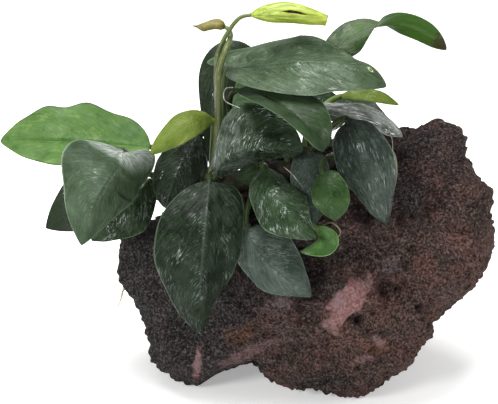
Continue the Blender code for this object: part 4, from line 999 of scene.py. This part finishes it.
# The creeping stem, from its values above.
def makeRhizome():
    # a tube on its own axis, ringed by leaf scars: a saw-tooth in radius, with knobbly noise
    along = np.linspace(0, 1, rhizome["steps"])
    axis, front, over = rhizomeAxis(along)
    turns = np.linspace(0, 2 * math.pi, rhizome["sides"], endpoint=False)
    ends = np.sqrt(np.clip(1 - (2 * along - 1) ** 8, 0.02, 1))
    around = circle(turns, front, over)
    slant = along[:, None] * rhizome["scars"] + 0.35 * np.cos(turns)[None, :]
    steps = slant - np.floor(slant)
    skin = axis[:, None, :] + around * rhizome["radius"]
    radius = rhizome["radius"] * ends[:, None] * (0.93 + rhizome["scarStep"] * steps**3)
    radius = radius + rhizome["knob"] * bumps(skin, rhizome["knobSize"], 91)
    rings = place(axis[:, None, :] + around * radius[..., None])
    ringValue = np.append((steps**4).ravel(), [0, 0])
    ahead = axis[-1] - axis[-2]
    return loftPiece("creepingStem", rings, place(axis[0] - ahead * 0.3), place(axis[-1] + ahead * 0.3),
                     (("ring", ringValue),))


def rhizomeFinish():
    f = Finish("rhizome")
    base = f.mix(f.step(f.noise(6, 3, 0.6), 0.40, 0.62), rhizome["dark"], rhizome["brown"])
    base = f.mix(f.step(f.number("ring"), 0.2, 0.8) * 0.8, base, rhizome["scarColour"])
    fibres = f.noise(0.9, 3, 0.7, stretch=(0.35, 1.0, 1.0))
    base = f.mix(f.step(fibres, 0.56, 0.72) * 0.4, base, rhizome["fibre"])
    return f.finishWith(base, 0.68, fibres, 0.4, {"Specular IOR Level": 0.25})


# Tubes: flower stalks, spike, dried flower, roots and strands.
def tubeFrames(axis):
    # two directions square to the axis and to each other at each of its places
    ahead = unit(np.gradient(axis, axis=0))
    side = unit(np.cross(ahead, np.array([0.0, 0.0, 1.0])))
    return side, np.cross(side, ahead)


def makeTube(name, path, radii, spans, sides, seed, rough=0.0):
    # round rings square to an even path, the radius interpolated between radii, roughened by noise
    axis = evenPath(path, spans)
    side, front = tubeFrames(axis)
    turns = np.linspace(0, 2 * math.pi, sides, endpoint=False)
    around = circle(turns, side, front)
    share = np.linspace(0, 1, len(axis))
    radius = np.interp(share, np.linspace(0, 1, len(radii)), radii)
    skin = axis[:, None, :] + around * radius[:, None, None]
    wide = radius[:, None] * (1 + rough * bumps(skin, 1.8, seed))
    rings = place(axis[:, None, :] + around * wide[..., None])
    alongIt = np.append(np.repeat(share, sides), [0, 1])
    return loftPiece(name, rings, place(axis[0]), place(axis[-1]), (("alongIt", alongIt),))


flowerStalks = {                    # radii from foot to top, then the places
    "flower_stalk_tall": (
        (1.0, 1.0, 0.95, 0.9, 0.85, 0.8, 0.75),
        ((-14.6, 73.5, 50.6), (-12.8, 92, 61.3), (-13.1, 113, 69), (-12.1, 121.4, 69.5), (-8.2, 129.2, 69.5),
         (-3.9, 134.5, 69.6), (0.4, 135.8, 69.8), (1.6, 135.9, 70))),
    "flower_stalk_short": (
        (1.3, 1.35, 1.35, 1.3, 1.15, 0.95, 0.85),
        ((-11.8, 74.3, 51.3), (-11.7, 86, 61.5), (-12.2, 102, 70), (-12, 113, 73), (-9.5, 121.4, 73),
         (-7.4, 127, 66.8), (-8.2, 130, 66), (-9.2, 130.8, 65.4))),
}
stalkLook = {
    "foot": (0.052, 0.066, 0.012), "top": (0.078, 0.108, 0.020), "pale": (0.16, 0.185, 0.07),
    "dark": (0.022, 0.030, 0.007),
}


def stalkFinish():
    f = Finish("flowerStalk")
    base = f.mix(f.step(f.number("alongIt"), 0.2, 0.9), stalkLook["foot"], stalkLook["top"])
    streak = f.noise(0.8, 3, 0.65, stretch=(1.0, 1.0, 0.12))
    base = f.mix(f.step(streak, 0.54, 0.70) * 0.75, base, stalkLook["pale"])
    base = f.mix(f.step(streak, 0.46, 0.30) * 0.6, base, stalkLook["dark"])
    return f.finishWith(base, 0.42, streak, 0.15)


hood = {
    "path": ((0.9, 135.9, 70), (8, 136.6, 70.4), (16.5, 136.9, 71), (25, 135.2, 71.6), (31.2, 133.7, 72)),
    "radii": (0.85, 3.7, 4.2, 3.3, 2.1), "wall": 0.35, "sides": 45,
    # degrees of gap between its two edges, less than 0 where they overlap, and where the edges meet
    "opening": (-8, -14, -26, -8, 18, 14, -8, -22, -10), "turn": (36, 30, 20, 0, -4, -4, 0, 6, 8),
    "lap": 0.55, "lip": 0.35, "notch": 0.35,                    # mm that its lower edge and its end stand out
    "dark": (0.180, 0.245, 0.014), "light": (0.390, 0.480, 0.080), "end": (0.270, 0.300, 0.016),
    "inside": (0.86, 0.78, 0.42), "speck": (0.150, 0.048, 0.022),
}


def hoodRings():
    # a bent wall round the axis, out along it and back on the inside, with lengthwise pleats
    axis = evenPath(hood["path"], 14)
    side, front = tubeFrames(axis)
    along = np.linspace(0, 1, len(axis))
    radii = through(np.array(hood["radii"])[:, None], along)[:, 0]
    knots = np.linspace(0, 1, len(hood["opening"]))
    half = np.radians(np.interp(along, knots, hood["opening"]) / 2)[:, None]
    middle = np.radians(np.interp(along, knots, hood["turn"]))[:, None]
    share = np.linspace(0, 1, hood["sides"])
    share = np.concatenate([share, share[::-1]])[None, :]
    turns = middle + half + share * 2 * (math.pi - half)
    # the lower edge, where share is 0, laps over the upper one and stands out as a lip
    lap = hood["lap"] * (0.5 - share) + hood["lip"] * np.exp(-share / 0.03)
    wall = np.where(np.arange(2 * hood["sides"]) < hood["sides"], 0.0, hood["wall"])
    pleats = 0.07 * np.sin(turns * 11) + 0.13 * np.sin(turns * 3 + along[:, None] * 5)
    notch = np.clip((along[:, None] - 0.90) / 0.10, 0, 1) * hood["notch"] * np.sin(turns * 5 + 1)
    swell = np.sin(math.pi * np.clip(along, 0.03, 0.9))[:, None] ** 0.5
    reach = radii[:, None] + (pleats + notch + lap) * swell - wall
    rings = axis[:, None, :] + reach[..., None] * circle(turns, front, side)
    inner = (wall > 0).astype(float)[None, :] * np.ones((len(axis), 1))
    return rings, along, inner


def makeHood():
    # quads round each ring, and the wall's own two end strips instead of fans
    rings, along, inner = hoodRings()
    count, around = rings.shape[:2]
    quads, _ = ringFaces(count, around)
    half = around // 2
    column = np.arange(half - 1)
    last = (count - 1) * around
    first = np.stack([column + 1, column, around - 1 - column, around - 2 - column], axis=-1)
    back = last + around - 1 - column
    final = np.stack([last + column, last + column + 1, back - 1, back], axis=-1)
    values = (("alongIt", np.repeat(along, around)), ("inner", inner))
    return newPiece("flowerHood", place(rings.reshape(-1, 3)), np.concatenate([quads, first, final]),
                    np.zeros((0, 3), int), values)


def hoodFinish():
    f = Finish("flowerHood")
    along = f.number("alongIt")
    streak = f.noise(1.3, 3, 0.6, stretch=(0.15, 1.0, 1.0))
    base = f.mix(f.step(streak, 0.38, 0.64), hood["dark"], hood["light"])
    base = f.mix(f.step(along, 0.55, 1.0) * 0.5, base, hood["end"])
    inside = f.step(f.number("inner"), 0.3, 0.7)
    base = f.mix(inside * 0.85, base, hood["inside"])
    specks = f.step(f.noise(0.6, 2, 0.5), 0.50, 0.58) * inside * f.step(along, 0.45, 0.6)
    base = f.mix(specks, base, hood["speck"])
    return f.finishWith(base, 0.45, streak, 0.25)


# The spike inside the hood.
spike = {
    "path": ((4.5, 136.9, 70.2), (12, 137.2, 70.8), (22, 136, 71.5)), "radii": (0.7, 1.2, 1.5, 0.6),
    "grain": (0.42, 0.36, 0.15), "gap": (0.07, 0.030, 0.008), "spot": (0.050, 0.018, 0.006),
}


def spikeFinish():
    f = Finish("flowerSpike")
    grains = f.cells(0.55)
    base = f.mix(f.step(grains, 0.2, 0.5), spike["grain"], spike["gap"])
    base = f.mix(f.step(f.noise(1.4, 2), 0.54, 0.62), base, spike["spot"])
    return f.finishWith(base, 0.55, 1 - grains, 0.3)


# The dried flower on the short stalk.
driedFlower = {
    "path": ((-9.4, 131.0, 64.6), (-13, 132, 64.8), (-18.2, 131, 65), (-22.8, 131.5, 65.4)),
    "radii": (0.7, 1.9, 2.35, 2.1, 1.95, 1.6, 0.5, 0.12),
    "olive": (0.090, 0.080, 0.009), "straw": (0.190, 0.170, 0.030), "brown": (0.140, 0.108, 0.034),
    "tip": (0.030, 0.020, 0.008),
}


def driedFinish():
    f = Finish("driedFlower")
    streak = f.noise(1.1, 4, 0.65, stretch=(0.3, 1.0, 1.0))
    base = f.mix(f.step(streak, 0.36, 0.62), driedFlower["olive"], driedFlower["straw"])
    base = f.mix(f.step(f.noise(3.5, 2), 0.50, 0.62) * 0.7, base, driedFlower["brown"])
    base = f.mix(f.step(f.number("alongIt"), 0.82, 0.95), base, driedFlower["tip"])
    return f.finishWith(base, 0.6, streak, 0.5)


roots = {                           # radius, places from foot to end
    "root_left": (
        0.45, ((-42, 40, -2.5), (-47, 31, 1.5), (-50.2, 26, 7), (-51.2, 22.5, 11), (-52.5, 19, 13))),
    "root_right": (
        0.5, ((44, 82, 61.5), (52.5, 84.5, 57.5), (57.8, 80.5, 58.5), (59, 73, 64.2), (58, 66, 67))),
    "root_under_leaf": (0.5, ((40, 74.5, 64), (47, 72, 66.5), (53, 66, 69), (57, 58, 69.5))),
    "root_loop": (0.35, ((29.5, 52, 73), (33.5, 52.6, 74), (36.6, 49, 73), (34.2, 45.6, 71.7))),
    "root_front": (0.55, ((-3, 64, 56.5), (-1, 56, 63.5), (1, 47, 68), (0, 38, 70))),
    "root_rear": (
        0.55, ((-3, 75.5, 44), (-3, 78.3, 36), (-3.5, 79, 26), (-4.5, 77.2, 13), (-6, 70.6, -1.9),
               (-8, 60, -12.2))),
}
# foot and end colour; only root_left is pale
rootLooks = {
    "root": ((0.040, 0.033, 0.013), (0.190, 0.180, 0.098)),
    "paleRoot": ((0.120, 0.090, 0.045), (0.720, 0.640, 0.380)),
}


def rootFinish(name, foot, end):
    f = Finish(name)
    base = f.mix(f.step(f.number("alongIt") + f.noise(3.0, 2) * 0.4, 0.35, 0.9), foot, end)
    return f.finishWith(base, 0.55, f.noise(0.6, 2, 0.6), 0.12)


strands = {                         # fine strands that cling to the leaves: radius, places
    "fibreLoop": (
        0.22, ((-6.4, 106.8, 80), (-9.2, 106.4, 80.5), (-10.2, 103.6, 80.5), (-9.0, 101, 80.5),
               (-3.6, 98.6, 81))),
    "fibreLeft": (0.11, ((14, 75, 88), (17, 72.4, 89), (19.5, 69.4, 89.5), (21.6, 66.8, 89.5))),
    "fibreRight": (0.15, ((55.8, 90.4, 66), (57.2, 86, 67), (57.6, 81, 68), (58.6, 77, 68.5))),
}
strandLook = {"dark": (0.12, 0.13, 0.09), "pale": (0.34, 0.34, 0.27)}


def strandFinish():
    f = Finish("strand")
    base = f.mix(f.step(f.noise(1.5, 2), 0.42, 0.60), strandLook["dark"], strandLook["pale"])
    return f.finishWith(base, 0.5)


# Making the pieces.
print("stone")
setPiece(makeStone(), "stone", lavaFinish())
print("creeping stem")
setPiece(makeRhizome(), "rhizome", rhizomeFinish())

print("leaves")
leafMaterials = {look: leafFinish("leaf" + look.capitalize(), values) for look, values in leafLooks.items()}
for seed, (name, leaf) in enumerate(leaves.items()):
    setPiece(makeLeaf(name, leaf, 200 + 10 * seed), name, leafMaterials[leaf["look"]])

# Each tube: name, path, radii, spans from place to place, sides, seed, roughness.
print("flowers")
stalkMaterial = stalkFinish()
for seed, (name, (radii, path)) in enumerate(flowerStalks.items()):
    tube = makeTube(pieceName(name), path, radii, 14, 18, 400 + seed, 0.08)
    setPiece(tube, name, stalkMaterial)
setPiece(makeHood(), "flower_hood", hoodFinish())
tube = makeTube("flowerSpike", spike["path"], spike["radii"], 24, 24, 410, 0.12)
setPiece(tube, "flower_spike", spikeFinish())
tube = makeTube("flowerDried", driedFlower["path"], driedFlower["radii"], 22, 32, 420, 0.14)
setPiece(tube, "flower_dried", driedFinish())

print("roots")
rootMaterials = {look: rootFinish(look, foot, end) for look, (foot, end) in rootLooks.items()}
for seed, (name, (radius, path)) in enumerate(roots.items()):
    radii = (radius, radius, radius * 0.85, radius * 0.45)
    tube = makeTube(pieceName(name), path, radii, 10, 12, 430 + seed, 0.12)
    setPiece(tube, name, rootMaterials["paleRoot" if name == "root_left" else "root"])

print("strands")
strandMaterial = strandFinish()
for seed, (name, (radius, path)) in enumerate(strands.items()):
    tube = makeTube(name, path, (radius, radius, radius * 0.6), 8, 8, 460 + seed, 0.2)
    tube.data.materials.append(strandMaterial)
    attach(tube, "root")


# Floor, light and camera.
stage = {"floorHalf": 3.0, "floorColour": (0.86, 0.86, 0.855), "floorGlow": 0.33, "world": 0.45}
lampAim = (0.0, 0.0, 0.06)
lamps = {                           # place in metres, size, watts
    "overhead": ((-0.10, 0.10, 1.10), 0.9, 18.0),
    "frontLeft": ((-0.75, -0.95, 0.70), 0.32, 10.0),
    "right": ((0.95, -0.35, 0.55), 0.5, 4.0),
}


def makeFloor():
    half = stage["floorHalf"]
    corners = [(-half, -half, 0), (half, -half, 0), (half, half, 0), (-half, half, 0)]
    mesh = bpy.data.meshes.new("floor")
    mesh.from_pydata(corners, [], [(0, 1, 2, 3)])
    floor = bpy.data.objects.new("floor", mesh)
    bpy.context.scene.collection.objects.link(floor)
    f = Finish("paleFloor")
    glow = {"Emission Color": (1, 1, 1, 1), "Emission Strength": stage["floorGlow"]}
    mesh.materials.append(f.finishWith(stage["floorColour"], 0.9, settings=glow))


def makeLamp(name, spot, size, watts):
    data = bpy.data.lights.new(name, "AREA")
    data.shape = "DISK"
    data.size = size
    data.energy = watts
    lamp = bpy.data.objects.new(name, data)
    bpy.context.scene.collection.objects.link(lamp)
    lamp.location = spot
    aim = unit(np.array(lampAim) - np.array(spot))
    lamp.rotation_euler = (math.acos(-aim[2]), 0, math.atan2(aim[0], -aim[1]) + math.pi)


def makeCamera():
    axes = sightAxes()
    data = bpy.data.cameras.new("camera")
    data.sensor_width = 36.0
    data.lens = data.sensor_width / 2 * sight["distance"] / sight["halfWidth"]
    camera = bpy.data.objects.new("camera", data)
    bpy.context.scene.collection.objects.link(camera)
    camera.location = (axes[1] * sight["centreUp"] + axes[2] * sight["distance"]) * mm
    camera.rotation_euler = (math.radians(90 - sight["slope"]), 0, 0)
    bpy.context.scene.camera = camera


print("floor, light and camera")
makeFloor()
for name, (spot, size, watts) in lamps.items():
    makeLamp(name, spot, size, watts)
makeCamera()
world = bpy.data.worlds.new("studio")
world.use_nodes = True
world.node_tree.nodes["Background"].inputs["Color"].default_value = (1, 1, 1, 1)
world.node_tree.nodes["Background"].inputs["Strength"].default_value = stage["world"]
bpy.context.scene.world = world
bpy.context.scene.view_settings.view_transform = "Standard"
